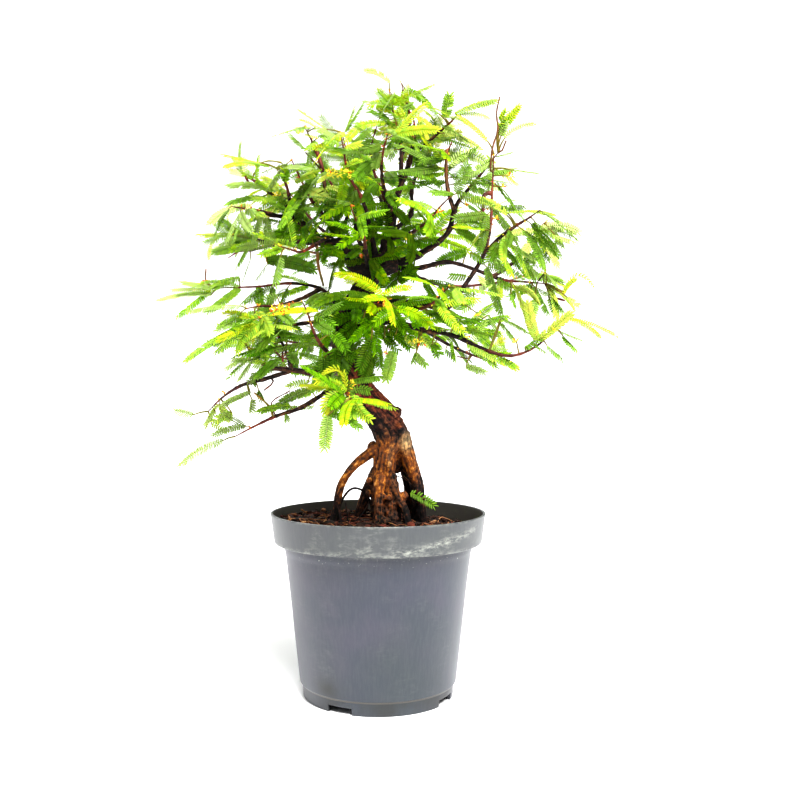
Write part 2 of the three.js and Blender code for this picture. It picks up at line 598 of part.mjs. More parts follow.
const tree = boxed(wood());
place('pot', pot(), 'pot');
place('soil', soil(ROOTS.map((root) => rootLimb(root, CLEARANCE))), 'soil');
place('wood', tree.solid, 'bark');
const twigs = BRANCHES.map((branch) => boxed(twig(branch)));
const placed = [];
BRANCHES.forEach(([name, , , , , youth], index) => {
  const own = twigs[index];
  const others = [tree, ...twigs.filter((other) => other !== own)];
  if (overlaps(own, others)) throw new Error(`the shoot of ${name} cuts into another`);
  const leaves = leavesOf(index, [...others, ...placed]);
  placed.push(...leaves);
  const body = leaves.reduce((joined, { solid }) => joined.add(solid), own.solid);
  place(`shoot_${name}`, body, youth > YOUNG ? 'youngLeaf' : 'oldLeaf');
});

export default plant;
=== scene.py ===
"""The looks of a calliandra pre-bonsai in its nursery pot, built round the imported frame.

Routes and sizes of the tree are in millimetres, as in the part's source, and become metres when a
mesh is made. +Z is up, +X is to the right of the photograph and -Y is towards its camera.
"""

import logging
import math
from dataclasses import dataclass, field
from enum import Enum
from typing import Mapping, Sequence

import bpy
import numpy as np
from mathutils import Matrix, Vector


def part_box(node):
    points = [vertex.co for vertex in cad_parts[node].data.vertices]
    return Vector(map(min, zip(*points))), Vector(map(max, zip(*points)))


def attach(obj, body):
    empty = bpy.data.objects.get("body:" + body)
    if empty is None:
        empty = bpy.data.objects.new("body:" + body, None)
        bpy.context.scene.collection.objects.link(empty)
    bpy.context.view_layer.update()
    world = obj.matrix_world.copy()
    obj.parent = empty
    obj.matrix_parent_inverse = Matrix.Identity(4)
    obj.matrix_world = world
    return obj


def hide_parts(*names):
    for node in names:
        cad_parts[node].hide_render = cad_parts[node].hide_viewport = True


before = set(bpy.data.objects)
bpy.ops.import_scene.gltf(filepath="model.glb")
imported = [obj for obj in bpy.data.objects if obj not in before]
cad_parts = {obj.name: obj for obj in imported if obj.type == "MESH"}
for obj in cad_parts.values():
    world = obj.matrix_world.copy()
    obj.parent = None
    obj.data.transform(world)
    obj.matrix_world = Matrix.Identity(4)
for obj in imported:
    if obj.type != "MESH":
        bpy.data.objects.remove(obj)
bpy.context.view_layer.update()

LOG = logging.getLogger("calliandra")
MM = 0.001
SEED = 20
POT_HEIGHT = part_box("pot")[1][2] / MM
RIM_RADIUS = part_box("pot")[1][0] / MM

# The share of its true length that the grain of a limb counts along it.
GRAIN_STRETCH = 0.13

Array = np.ndarray
Object = bpy.types.Object
Material = bpy.types.Material
Point = tuple[float, float, float]
Colour = tuple[float, float, float, float]


def linear(*channels: int) -> Colour:
    """Turn a screen colour into the linear colour that shaders take.

    Args:
        *channels: Red, green and blue as seen on a screen, from 0 to 255.

    Returns:
        The linear colour with a full alpha.
    """
    shares = (channel / 255 for channel in channels)
    return (*((c / 12.92 if c <= 0.04045 else ((c + 0.055) / 1.055) ** 2.4) for c in shares), 1.0)


def unit(vectors: Array) -> Array:
    """Scale vectors, one or a row each, to a length of 1."""
    return vectors / np.maximum(np.linalg.norm(vectors, axis=-1, keepdims=True), 1e-12)


def draw(shoot: int, leaf: int, use: int) -> float:
    """The part source's own repeatable draw from 0 to 1 for a shoot, a leaf on it and a use."""
    wave = math.sin(shoot * 127.1 + leaf * 311.7 + use * 74.7) * 43758.5453
    return wave - math.floor(wave)


def lattice_noise(points: Array, seed: int = 0) -> Array:
    """Smooth noise from -1 to 1, with features about one unit across.

    Args:
        points: One point a row.
        seed: Picks another pattern.

    Returns:
        One value a point.
    """
    cell = np.floor(points).astype(np.int64)
    ease = points - cell
    ease = ease * ease * (3 - 2 * ease)
    total = np.zeros(len(points))
    for corner in range(8):
        step = np.array([corner & 1, corner >> 1 & 1, corner >> 2 & 1])
        x, y, z = (cell + step).T
        mixed = (x * 374761393 + y * 668265263 + z * 2147483647 + seed * 974634777) & 0xFFFFFFFF
        mixed = (mixed ^ (mixed >> 13)) * 1274126177 & 0xFFFFFFFF
        mixed ^= mixed >> 16
        weight = np.prod(np.where(step, ease, 1 - ease), axis=1)
        total += weight * (mixed / 0x7FFFFFFF - 1)
    return total


def layered_noise(points: Array, layers: int = 3, seed: int = 0) -> Array:
    """Noise with finer and weaker layers added, from about -1 to 1."""
    total = sum(lattice_noise(points * 2.0**n, seed + n) / 2.0**n for n in range(layers))
    return total / (2 - 0.5 ** (layers - 1))


class Route:
    """A smooth curve through points in millimetres, sampled finely and measured along its length.

    It is the same curve as in the part's source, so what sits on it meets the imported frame.
    """

    STEPS = 10

    def __init__(self, points: Sequence[Point]) -> None:
        """Sample the curve.

        Args:
            points: The points that it runs through.
        """
        given = np.array(points, float)
        given = np.vstack([2 * given[0] - given[1], given, 2 * given[-1] - given[-2]])
        spans = [self._span(given[i:i + 4]) for i in range(len(given) - 3)]
        self.points = np.vstack([*spans, given[-2:-1]])
        self._measure()

    def _span(self, four: Array) -> Array:
        """Sample the centripetal curve between the middle two of four points.

        Args:
            four: The four points, one a row.

        Returns:
            The samples, with the second point but without the third.
        """
        gaps = np.sqrt(np.linalg.norm(np.diff(four, axis=0), axis=1))
        first, middle, last = np.maximum(gaps, 1e-4)
        a, b, c, d = four
        leave = ((b - a) / first - (c - a) / (first + middle) + (c - b) / middle) * middle
        reach = ((c - b) / middle - (d - b) / (middle + last) + (d - c) / last) * middle
        t = np.arange(self.STEPS)[:, None] / self.STEPS
        square = -3 * b + 3 * c - 2 * leave - reach
        cube = 2 * b - 2 * c + leave + reach
        return b + leave * t + square * t**2 + cube * t**3

    def _measure(self) -> None:
        """Work out the distance along the curve to each sample."""
        steps = np.linalg.norm(np.diff(self.points, axis=0), axis=1)
        self.run = np.concatenate([[0], np.cumsum(steps)])
        self.length = float(self.run[-1])

    def stretch(self, first: float, last: float) -> "Route":
        """Cut a part out of the curve.

        Args:
            first: The given point at which it starts, counted from 0.
            last: The given point at which it ends.

        Returns:
            The part as a curve of its own.
        """
        cut = object.__new__(Route)
        cut.points = self.points[round(first * self.STEPS):round(last * self.STEPS) + 1]
        cut._measure()
        return cut

    def at(self, distances: Array | float) -> Array:
        """The points at distances along the curve."""
        axes = [np.interp(distances, self.run, self.points[:, axis]) for axis in range(3)]
        return np.stack(axes, axis=-1)

    def tangent(self, distances: Array | float) -> Array:
        """The directions of the curve at distances along it."""
        return unit(self.at(np.add(distances, 0.5)) - self.at(np.subtract(distances, 0.5)))


def transported(tangents: Array) -> Array:
    """Find sideways directions that turn round a curve no more than they must.

    Args:
        tangents: The curve's directions, one a row.

    Returns:
        A sideways direction for each.
    """
    sides = np.empty_like(tangents)
    side = np.array([0.3, -1, 0.2])
    for index, tangent in enumerate(tangents):
        side = unit(side - tangent * side.dot(tangent))
        sides[index] = side
    return sides


def put(name: str, data: bpy.types.ID) -> Object:
    """Make an object of a mesh, a lamp or a camera, and link it to the scene.

    Args:
        name: The object's name.
        data: What it shows.

    Returns:
        The object.
    """
    made = bpy.data.objects.new(name, data)
    bpy.context.scene.collection.objects.link(made)
    return made


@dataclass
class Draft:
    """A mesh in the making: points in millimetres, faces, and marks, the numbers kept per point."""

    points: list[Array] = field(default_factory=list)
    faces: list[tuple[Array, int]] = field(default_factory=list)
    marks: dict[str, list[Array]] = field(default_factory=dict)
    count: int = 0

    def add(self, points: Array, faces: Sequence[Array], finish: int = 0, **marks: object) -> None:
        """Add a closed body.

        Args:
            points: One point a row.
            faces: Arrays of faces, each array with one length of face.
            finish: The number of its material on the finished object.
            **marks: A number, or a vector, for the whole body or for each point.
        """
        self.points.append(points)
        self.faces += [(np.asarray(group) + self.count, finish) for group in faces]
        for name, value in marks.items():
            wide = np.ndim(value) == 2
            shape = (len(points), 3) if wide else (len(points),)
            self.marks.setdefault(name, []).append(np.broadcast_to(value, shape))
        self.count += len(points)

    def build(self, name: str, materials: Sequence[Material] = (), smooth: bool = True) -> Object:
        """Make the object.

        Args:
            name: The object's name.
            materials: Its materials, in the order that the faces count them.
            smooth: Whether its faces are shaded as one smooth surface.

        Returns:
            The object, linked to the scene.
        """
        mesh = bpy.data.meshes.new(name)
        mesh.vertices.add(self.count)
        mesh.vertices.foreach_set("co", np.concatenate(self.points).ravel() * MM)
        sizes = np.concatenate([np.full(len(group), group.shape[1]) for group, _ in self.faces])
        mesh.loops.add(int(sizes.sum()))
        mesh.loops.foreach_set("vertex_index", np.concatenate([group.ravel() for group, _ in self.faces]))
        mesh.polygons.add(len(sizes))
        mesh.polygons.foreach_set("loop_start", np.cumsum(sizes) - sizes)
        finishes = np.concatenate([np.full(len(group), finish) for group, finish in self.faces])
        mesh.polygons.foreach_set("material_index", finishes)
        mesh.polygons.foreach_set("use_smooth", np.full(len(sizes), smooth))
        for mark, values in self.marks.items():
            stacked = np.concatenate(values)
            kind, key = ("FLOAT_VECTOR", "vector") if stacked.ndim == 2 else ("FLOAT", "value")
            mesh.attributes.new(mark, kind, "POINT").data.foreach_set(key, stacked.ravel())
        mesh.update(calc_edges=True)
        for material in materials:
            mesh.materials.append(material)
        return put(name, mesh)


def circle(sides: int) -> Array:
    """Even angles once round."""
    return np.arange(sides) / sides * math.tau


def skin(count: int, sides: int) -> list[Array]:
    """Work out the faces over rings of points that follow each other.

    Args:
        count: How many rings there are.
        sides: How many points a ring has.

    Returns:
        The square faces between the rings, and the two faces that close the ends.
    """
    ring, side = np.meshgrid(np.arange(count - 1), np.arange(sides), indexing="ij")
    a = ring * sides + side
    b = ring * sides + (side + 1) % sides
    ends = np.array([np.arange(sides)[::-1], np.arange(sides) + (count - 1) * sides])
    return [np.stack([a, b, b + sides, a + sides], axis=-1).reshape(-1, 4), ends]


def tube(draft: Draft, route: Route, radii: Array, sides: int, finish: int = 0, **marks: object) -> None:
    """Add a round limb with closed ends.

    Args:
        draft: The mesh that it joins.
        route: Its middle line.
        radii: Its radius at even steps from start to end.
        sides: How many sides it has.
        finish: The number of its material.
        **marks: Marks for the whole limb.
    """
    distances = np.linspace(0, route.length, len(radii))
    tangents = route.tangent(distances)
    normals = transported(tangents)
    binormals = np.cross(tangents, normals)
    across, up = np.cos(circle(sides)), np.sin(circle(sides))
    out = across[None, :, None] * normals[:, None] + up[None, :, None] * binormals[:, None]
    points = route.at(distances)[:, None] + out * radii[:, None, None]
    grain = np.stack(np.broadcast_arrays(across * radii[:, None], up * radii[:, None],
                                         distances[:, None] * GRAIN_STRETCH), axis=-1).reshape(-1, 3) * MM
    draft.add(points.reshape(-1, 3), skin(len(radii), sides), finish, grain=grain, **marks)


@dataclass(frozen=True)
class Value:
    """A socket of a paint that takes part in Python expressions, which add Math nodes."""

    paint: "Paint"
    socket: bpy.types.NodeSocket

    def _join(self, operation: str, left: object, right: object, clamp: bool = False) -> "Value":
        """Add one Math node."""
        settings = {"operation": operation, "use_clamp": clamp}
        return self.paint.node("ShaderNodeMath", settings, {0: left, 1: right})

    def __add__(self, other: object) -> "Value":
        """Add a number or a value."""
        return self._join("ADD", self, other)

    def __sub__(self, other: object) -> "Value":
        """Take a number or a value away."""
        return self._join("SUBTRACT", self, other)

    def __rsub__(self, other: object) -> "Value":
        """Take this value away from a number."""
        return self._join("SUBTRACT", other, self)

    def __mul__(self, other: object) -> "Value":
        """Multiply by a number or a value."""
        return self._join("MULTIPLY", self, other)

    __radd__ = __add__
    __rmul__ = __mul__

    def between(self, low: float, high: float) -> "Value":
        """A mask that is 0 at low, 1 at high and straight in between."""
        return self._join("MULTIPLY", self - low, 1 / (high - low), clamp=True)


class Paint:
    """A material's node tree, written as expressions."""

    def __init__(self, name: str) -> None:
        """Start a material with its shader and output.

        Args:
            name: The material's name.
        """
        self.material = bpy.data.materials.new(name)
        self.material.use_nodes = True
        self.tree = self.material.node_tree
        self.shader = self.tree.nodes["Principled BSDF"]
        self.output = self.tree.nodes["Material Output"]

    def node(self, kind: str, settings: Mapping[str, object] | None = None,
             values: Mapping[str | int, object] | None = None, output: str | int = 0) -> Value:
        """Add a node.

        Args:
            kind: The node's type.
            settings: Its settings, set first. A ramp's are its stops, as pairs of a place and a colour.
            values: What its sockets take, a value or a link each.
            output: Which of its sockets is handed back.

        Returns:
            That socket.
        """
        node = self.tree.nodes.new(kind)
        for name, setting in (settings or {}).items():
            if name != "stops":
                setattr(node, name, setting)
                continue
            elements = node.color_ramp.elements
            while len(elements) < len(setting):
                elements.new(1.0)
            for element, (place, colour) in zip(elements, setting):
                element.position, element.color = place, colour
        for name, value in (values or {}).items():
            self.feed(node.inputs[name], value)
        return Value(self, node.outputs[output])

    def feed(self, socket: bpy.types.NodeSocket, value: object) -> None:
        """Link a value to a socket, or set the socket to a plain one.

        Args:
            socket: The socket.
            value: A value of this paint, or a number, colour or vector.
        """
        if isinstance(value, Value):
            self.tree.links.new(value.socket, socket)
        else:
            socket.default_value = value

    def mark(self, name: str, vector: bool = False) -> Value:
        """A mark that the mesh keeps at its points."""
        output = "Vector" if vector else "Fac"
        return self.node("ShaderNodeAttribute", {"attribute_name": name}, output=output)

    def place(self) -> Value:
        """The place on the object in metres."""
        return self.node("ShaderNodeTexCoord", output="Object")

    def stretched(self, vector: Value, x: float, y: float, z: float) -> Value:
        """A vector with its axes scaled."""
        return self.node("ShaderNodeVectorMath", {"operation": "MULTIPLY"}, {0: vector, 1: (x, y, z)})

    def noise(self, vector: Value, scale: float, detail: float = 3, roughness: float = 0.55) -> Value:
        """Soft cloudy noise from 0 to 1. The scale is in features a metre."""
        sizes = {"Vector": vector, "Scale": scale, "Detail": detail, "Roughness": roughness}
        return self.node("ShaderNodeTexNoise", None, sizes)

    def ramp(self, mask: Value, *stops: tuple[float, Colour]) -> Value:
        """A colour read off a ramp."""
        return self.node("ShaderNodeValToRGB", {"stops": stops}, {"Fac": mask})

    def blend(self, under: object, over: object, mask: object) -> Value:
        """One colour laid over another by a mask."""
        return self.node("ShaderNodeMix", {"data_type": "RGBA"}, {0: mask, 6: under, 7: over}, output=2)

    def relief(self, height: Value, depth: float, strength: float = 1.0) -> None:
        """Give the shader a bump. The depth is in metres."""
        bump = self.node("ShaderNodeBump", None, {"Strength": strength, "Distance": depth, "Height": height})
        self.feed(self.shader.inputs["Normal"], bump)

    def finish(self, colour: object, roughness: object, **plain: float) -> Material:
        """Set the shader's colour, roughness and plain sockets.

        Args:
            colour: The base colour.
            roughness: The roughness.
            **plain: Other sockets of the shader by name, with underscores for spaces.

        Returns:
            The material.
        """
        self.feed(self.shader.inputs["Base Color"], colour)
        self.feed(self.shader.inputs["Roughness"], roughness)
        for name, value in plain.items():
            self.shader.inputs[name.replace("_", " ")].default_value = value
        return self.material


@dataclass(frozen=True)
class PotPlastic:
    """Grey recycled plastic, satin, with a dusty scuffed collar and faint stains."""

    body: Colour = linear(40, 45, 60)
    mottle: Colour = linear(54, 53, 68)
    cool: Colour = linear(34, 46, 50)
    collar: Colour = linear(66, 69, 68)
    dust: Colour = linear(190, 192, 180)
    inside: Colour = linear(78, 74, 68)
    stain: Colour = linear(14, 15, 13)

    def material(self) -> Material:
        """Make the material.

        Returns:
            The finished material.
        """
        paint = Paint("pot_plastic")
        place = paint.place()
        clouds = paint.noise(place, 22, 5)
        drift = paint.noise(place, 7, 2)
        colour = paint.blend(self.body, self.mottle, clouds.between(0.42, 0.62))
        colour = paint.blend(colour, self.cool, drift.between(0.45, 0.65) * 0.7)
        collar = paint.mark("collar")
        patches = paint.noise(place, 28, 4, 0.6)
        colour = paint.blend(colour, self.collar, collar * (0.45 + patches * 0.5))
        brushed = paint.noise(paint.stretched(place, 1, 1, 0.1), 520, 4, 0.7)
        colour = paint.blend(colour, self.dust, (brushed - 0.42).between(0.0, 0.5) * 0.04)
        scuffs = paint.noise(paint.stretched(place, 1, 1, 2.4), 130, 6, 0.7)
        specks = paint.noise(place, 520, 2).between(0.68, 0.74)
        dusty = scuffs.between(0.46, 0.68) * patches.between(0.5, 0.7) * (collar * 0.26 + 0.05)
        dusty = dusty + scuffs.between(0.44, 0.6) * paint.mark("scuff") * 0.36
        dusty = dusty + specks * paint.mark("under") * 0.8
        colour = paint.blend(colour, self.dust, dusty)
        colour = paint.blend(colour, self.dust, paint.mark("edge") * scuffs.between(0.45, 0.6) * 0.2)
        colour = paint.blend(colour, self.stain, paint.mark("stain") * patches.between(0.3, 0.6))
        colour = paint.blend(colour, self.inside, paint.mark("inside"))
        rough = clouds * 0.2 + dusty * 0.3 + 0.36
        scratches = paint.noise(paint.stretched(place, 1, 1, 0.2), 420, 3, 0.7)
        paint.relief(clouds * 0.6 + scratches * 0.4 + dusty * 0.5, 0.0004, 0.35)
        return paint.finish(colour, rough, Specular_IOR_Level=0.8, Coat_Weight=0.3, Coat_Roughness=0.35)


@dataclass(frozen=True)
class PottingMix:
    """Damp potting mix: a dark crumb with chips from near black to red-brown and tan."""

    dark: Colour = linear(24, 17, 14)
    brown: Colour = linear(60, 36, 24)
    red: Colour = linear(112, 52, 36)
    tan: Colour = linear(186, 140, 96)

    def material(self) -> Material:
        """Make the material.

        Returns:
            The finished material.
        """
        paint = Paint("potting_mix")
        grain = paint.noise(paint.place(), 900, 4, 0.7)
        clumps = paint.noise(paint.place(), 160, 3)
        tone = paint.mark("tone") + (grain - 0.5) * 0.35 + (clumps - 0.5) * 0.3
        colour = paint.ramp(tone, (0.0, self.dark), (0.45, self.brown), (0.75, self.red), (1.0, self.tan))
        paint.relief(grain + clumps, 0.0012, 0.8)
        return paint.finish(colour, 0.95 - grain * 0.3)


@dataclass(frozen=True)
class Bark:
    """Rough flaking bark, near black in its cracks, with golden worn patches on the old wood and painted
    shade in its cracks and hollows.
    """

    # The darkest colour is the cracks' own and the shade painted into cracks and hollows.
    crack_and_shade: Colour = linear(12, 6, 6)
    shade: Colour = linear(46, 22, 18)
    plate: Colour = linear(108, 70, 46)
    ridge: Colour = linear(178, 118, 76)
    rust: Colour = linear(168, 62, 34)
    warm: Colour = linear(142, 78, 22)
    gold: Colour = linear(226, 152, 60)
    worn: Colour = linear(236, 208, 158)

    def material(self) -> Material:
        """Make the material.

        Returns:
            The finished material.
        """
        paint = Paint("bark")
        grain = paint.mark("grain", vector=True)
        streaks = paint.noise(grain, 620, 6, 0.68)
        fibres = paint.noise(paint.stretched(grain, 1, 1, 0.5), 1900, 3, 0.6)
        flakes = paint.noise(paint.place(), 230, 5, 0.72)
        height = paint.mark("height")
        # Painted shade and light: the height mark darkens the bark's cracks and lightens its ridges.
        light = (height - 0.5) * 0.7 + (streaks - 0.5) * 0.95 + (flakes - 0.5) * 1.15 + (fibres - 0.5) * 0.5
        # Painted shade: the dark mark darkens hollows, the trunk's top under the crown and the roots by the
        # soil.
        light = light + 0.43 - paint.mark("dark") * 0.42
        aged = paint.ramp(light, (0.2, self.crack_and_shade), (0.45, self.shade), (0.68, self.plate),
                          (0.95, self.ridge))
        smooth = paint.ramp(light, (0.12, self.crack_and_shade), (0.34, self.plate), (0.55, self.warm),
                            (0.8, self.gold), (1.0, self.worn))
        warmth = paint.mark("warmth") + (flakes - 0.5) * 0.8
        colour = paint.blend(aged, smooth, warmth.between(0.25, 0.75))
        red = paint.mark("red") * light.between(0.3, 0.75)
        colour = paint.blend(colour, self.rust, red * 0.8)
        pale = paint.mark("pale") * (streaks + 0.25)
        colour = paint.blend(colour, self.worn, pale.between(0.12, 1.0) * light.between(0.1, 0.6))
        paint.relief(streaks * 0.6 + flakes * 0.5 + fibres * 0.25, 0.0022, 0.8)
        return paint.finish(colour, 0.85 - light * 0.35, Specular_IOR_Level=0.5)


@dataclass(frozen=True)
class TwigBark:
    """Young bark: dark purple-brown, orange where the light comes through, green at the very tips."""

    dark: Colour = linear(46, 20, 24)
    brown: Colour = linear(116, 50, 34)
    orange: Colour = linear(206, 112, 40)
    green: Colour = linear(140, 150, 40)

    def material(self) -> Material:
        """Make the material.

        Returns:
            The finished material.
        """
        paint = Paint("twig_bark")
        grain = paint.mark("grain", vector=True)
        streaks = paint.noise(grain, 1500, 4, 0.6)
        patches = paint.noise(paint.place(), 90, 3)
        tone = streaks * 0.6 + patches * 0.9 - 0.36
        colour = paint.ramp(tone, (0.2, self.dark), (0.5, self.brown), (0.85, self.orange))
        colour = paint.blend(colour, self.green, paint.mark("youth"))
        paint.relief(streaks, 0.0003, 0.5)
        return paint.finish(colour, 0.75 - streaks * 0.3)


class Age(Enum):
    """How a shoot's leaves are named in the part's record."""

    OLD = "old_foliage"
    YOUNG = "young_foliage"


@dataclass(frozen=True)
class Foliage:
    """Leaflets from deep green to yellow-green, waxy above, with light coming through them."""

    age: Age
    glow: Colour
    share: float
    deep: Colour = linear(14, 48, 6)
    green: Colour = linear(32, 110, 2)
    fresh: Colour = linear(126, 188, 6)
    lime: Colour = linear(204, 230, 10)
    yellow: Colour = linear(250, 230, 34)
    sunlit: Colour = linear(238, 247, 176)

    def material(self) -> Material:
        """Make the material.

        Returns:
            The finished material.
        """
        paint = Paint(self.age.value)
        youth = paint.mark("youth")
        fine = paint.noise(paint.place(), 1400, 2)
        broad = paint.noise(paint.place(), 55, 2)
        # The youth mark also holds painted shade: leaves deep in the crown are darker, those at its skin
        # lighter.
        tone = youth + (fine - 0.5) * 0.12 + (broad - 0.5) * 0.16
        colour = paint.ramp(tone, (0.0, self.deep), (0.28, self.green), (0.55, self.fresh), (0.8, self.lime),
                            (1.0, self.yellow))
        vein = paint.mark("vein")
        colour = paint.blend(colour, self.lime, vein * 0.3)
        # Painted highlight: the pale mark lays a sunlit colour on leaves at the crown's skin and on pale
        # blades.
        colour = paint.blend(colour, self.sunlit, paint.mark("pale") * 0.8)
        paint.relief(fine + vein, 0.0002, 0.5)
        paint.finish(colour, 0.42 + fine * 0.2, Specular_IOR_Level=0.2)
        glow = paint.node("ShaderNodeBsdfTranslucent", None, {"Color": self.glow}, output="BSDF")
        layers = {0: self.share, 1: Value(paint, paint.shader.outputs[0]), 2: glow}
        through = paint.node("ShaderNodeMixShader", None, layers, output="Shader")
        paint.feed(paint.output.inputs["Surface"], through)
        return paint.material


@dataclass(frozen=True)
class Bud:
    """Opening buds and stipules: yellow with orange tips."""

    yellow: Colour = linear(240, 218, 60)
    orange: Colour = linear(220, 104, 22)

    def material(self) -> Material:
        """Make the material.

        Returns:
            The finished material.
        """
        paint = Paint("bud")
        spots = paint.noise(paint.place(), 260, 3)
        colour = paint.blend(self.yellow, self.orange, (paint.mark("vein") + spots - 0.7).between(0.0, 0.5))
        paint.relief(spots, 0.0003, 0.4)
        return paint.finish(colour, 0.55)


@dataclass
class Pot:
    """The nursery pot: a thin wall turned in one piece, with notches through its foot ring."""

    wall: float = 2.4
    collar_height: float = 27.4
    collar_foot_radius: float = 96.4
    shoulder_radius: float = 87.4
    body_foot_radius: float = 72.8
    foot_height: float = 12.7
    foot_radius: float = 69.7
    foot_wall: float = 3.2
    foot_step: float = 0.8
    floor_underside: float = 7.0
    floor_thickness: float = 2.6
    notch_width: float = 24.0
    notch_height: float = 6.0
    notch_angles: tuple[float, ...] = (-119, -29, 61, 151)
    sides: int = 192
    rounding: float = 0.9
    row_height: float = 2.0
    wobble: float = 0.5
    wobble_size: float = 45.0
    scuff: tuple[float, ...] = (0.12, 1.07, 144, 160)
    scuff_width: float = 3.6
    stain_middle: Point = (-44.0, -66.0, 20.0)
    stain_reach: Point = (15.0, 30.0, 9.0)
    ring_stain: float = 0.75
    edge_reach: tuple[float, float] = (1.6, 1.1)

    @property
    def base(self) -> float:
        """The height of the collar's lower edge."""
        return POT_HEIGHT - self.collar_height

    @property
    def notch_half(self) -> float:
        """Half of a notch's width as an angle."""
        return self.notch_width / 2 / self.foot_radius

    def outline(self) -> list[Point]:
        """The turned outline from the middle of the underside round to the middle of the floor.

        Returns:
            Rows of radius, height and the outline's rounding there.
        """
        base, soft = self.base, self.rounding
        inner = self.foot_radius - self.foot_wall
        floor = self.floor_underside + self.floor_thickness
        return [
            (0, self.floor_underside, 0), (inner, self.floor_underside, soft), (inner, 0, soft),
            (self.foot_radius, 0, soft), (self.foot_radius + self.foot_step, self.foot_height, soft / 2),
            (self.body_foot_radius, self.foot_height + self.foot_step, 2 * soft),
            (self.shoulder_radius - 1.2, base - 9.5, 3), (self.shoulder_radius, base - 5.5, 3),
            (self.shoulder_radius + 0.2, base, soft / 2), (self.collar_foot_radius, base + 0.3, 1.6),
            (RIM_RADIUS - 0.5, POT_HEIGHT - 4, 2), (RIM_RADIUS, POT_HEIGHT, 0.7),
            (RIM_RADIUS - self.wall, POT_HEIGHT, 0.7),
            (self.collar_foot_radius - self.wall, base + self.wall, 2),
            (self.shoulder_radius - self.wall, base, 2),
            (self.body_foot_radius - self.wall, floor, 3), (0, floor, 0),
        ]

    def rounded(self, outline: Sequence[Point]) -> Array:
        """Round an outline's corners with short arcs of five points, and split its tall stretches.

        Args:
            outline: Rows of radius, height and rounding.

        Returns:
            Rows of radius and height.
        """
        corners = np.array([(r, z) for r, z, _ in outline])
        points = [corners[0]]
        for index in range(1, len(corners) - 1):
            corner = corners[index]
            before = corners[index - 1] - corner
            after = corners[index + 1] - corner
            reach = min(outline[index][2], np.linalg.norm(before) / 2.2, np.linalg.norm(after) / 2.2)
            start = corner + unit(before) * reach
            end = corner + unit(after) * reach
            for t in np.linspace(0, 1, 5):
                points.append((1 - t) ** 2 * start + 2 * t * (1 - t) * corner + t * t * end)
        points.append(corners[-1])
        rows = [points[0]]
        for start, end in zip(points, points[1:]):
            steps = max(int(abs(end[1] - start[1]) / self.row_height), 1)
            rows += [start + (end - start) * step / steps for step in range(1, steps + 1)]
        return np.array(rows)

    def turns(self) -> Array:
        """Work out the angles of the turning, with one on each side of every notch's edge.

        Returns:
            The angles in radians.
        """
        edges = [math.radians(a) + side * self.notch_half + step
                 for a in self.notch_angles for side in (-1, 1) for step in (-0.002, 0.002)]
        return np.unique(np.concatenate([circle(self.sides), np.mod(edges, math.tau)]))

    def marks(self, points: Array, inside: Array) -> dict[str, Array]:
        """Work out where the plastic is dusty, worn, scuffed and stained.

        Args:
            points: The pot's points.
            inside: 1 for each that is inside the pot, or else 0.

        Returns:
            The marks by name.
        """
        z, outside = points[:, 2], 1 - inside
        low_edge, high_edge = self.edge_reach
        edge = np.exp(-((z - self.base - 1) / low_edge) ** 2) + np.exp(-((z - POT_HEIGHT) / high_edge) ** 2)
        away = (points - self.stain_middle) / self.stain_reach
        stain = np.exp(-np.sum(away ** 2, axis=1)) * outside
        start, end, low, high = self.scuff
        along = (np.arctan2(points[:, 0], -points[:, 1]) - start) / (end - start)
        scuff = np.exp(-((z - low - (high - low) * along) / self.scuff_width) ** 2)
        return {
            "collar": np.clip((z - self.base + 4) / 6, 0, 1) * outside,
            "edge": edge * outside,
            "stain": stain + np.clip(self.foot_height + 0.4 - z, 0, 1) * self.ring_stain,
            "inside": inside,
            "scuff": scuff * np.clip(np.minimum(along + 0.1, 1.1 - along) * 6, 0, 1) * outside,
            "under": np.exp(-((z - self.base + 6) / 3) ** 2) * outside,
        }

    def build(self) -> Object:
        """Turn the pot.

        Returns:
            The finished object.
        """
        outline = self.rounded(self.outline())[1:-1]
        turns = self.turns()
        middles = np.radians(self.notch_angles)[:, None]
        away = np.abs(np.mod(turns - middles + math.pi, math.tau) - math.pi)
        in_notch = np.min(away, axis=0) < self.notch_half
        radius, height = (outline[:, axis][:, None] * np.ones(len(turns)) for axis in (0, 1))
        height = np.where(in_notch & (height < self.notch_height), self.notch_height + 0.1 * height, height)
        x, y = radius * np.cos(turns), radius * np.sin(turns)
        points = np.stack([x, y, height], axis=-1).reshape(-1, 3)
        rise = np.clip(points[:, 2] / POT_HEIGHT, 0, 1)
        wobble = lattice_noise(points / self.wobble_size, 3) * rise * self.wobble
        points = points + unit(points * [1, 1, 0]) * wobble[:, None]
        rows = np.repeat(np.arange(len(outline)), len(turns))
        inside = (rows > int(np.argmax(outline[:, 1])) + 4).astype(float)
        draft = Draft()
        draft.add(points, skin(len(outline), len(turns)), **self.marks(points, inside))
        pot = draft.build("nursery_pot", [PotPlastic().material()])
        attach(pot, "root")
        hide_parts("pot")
        return pot


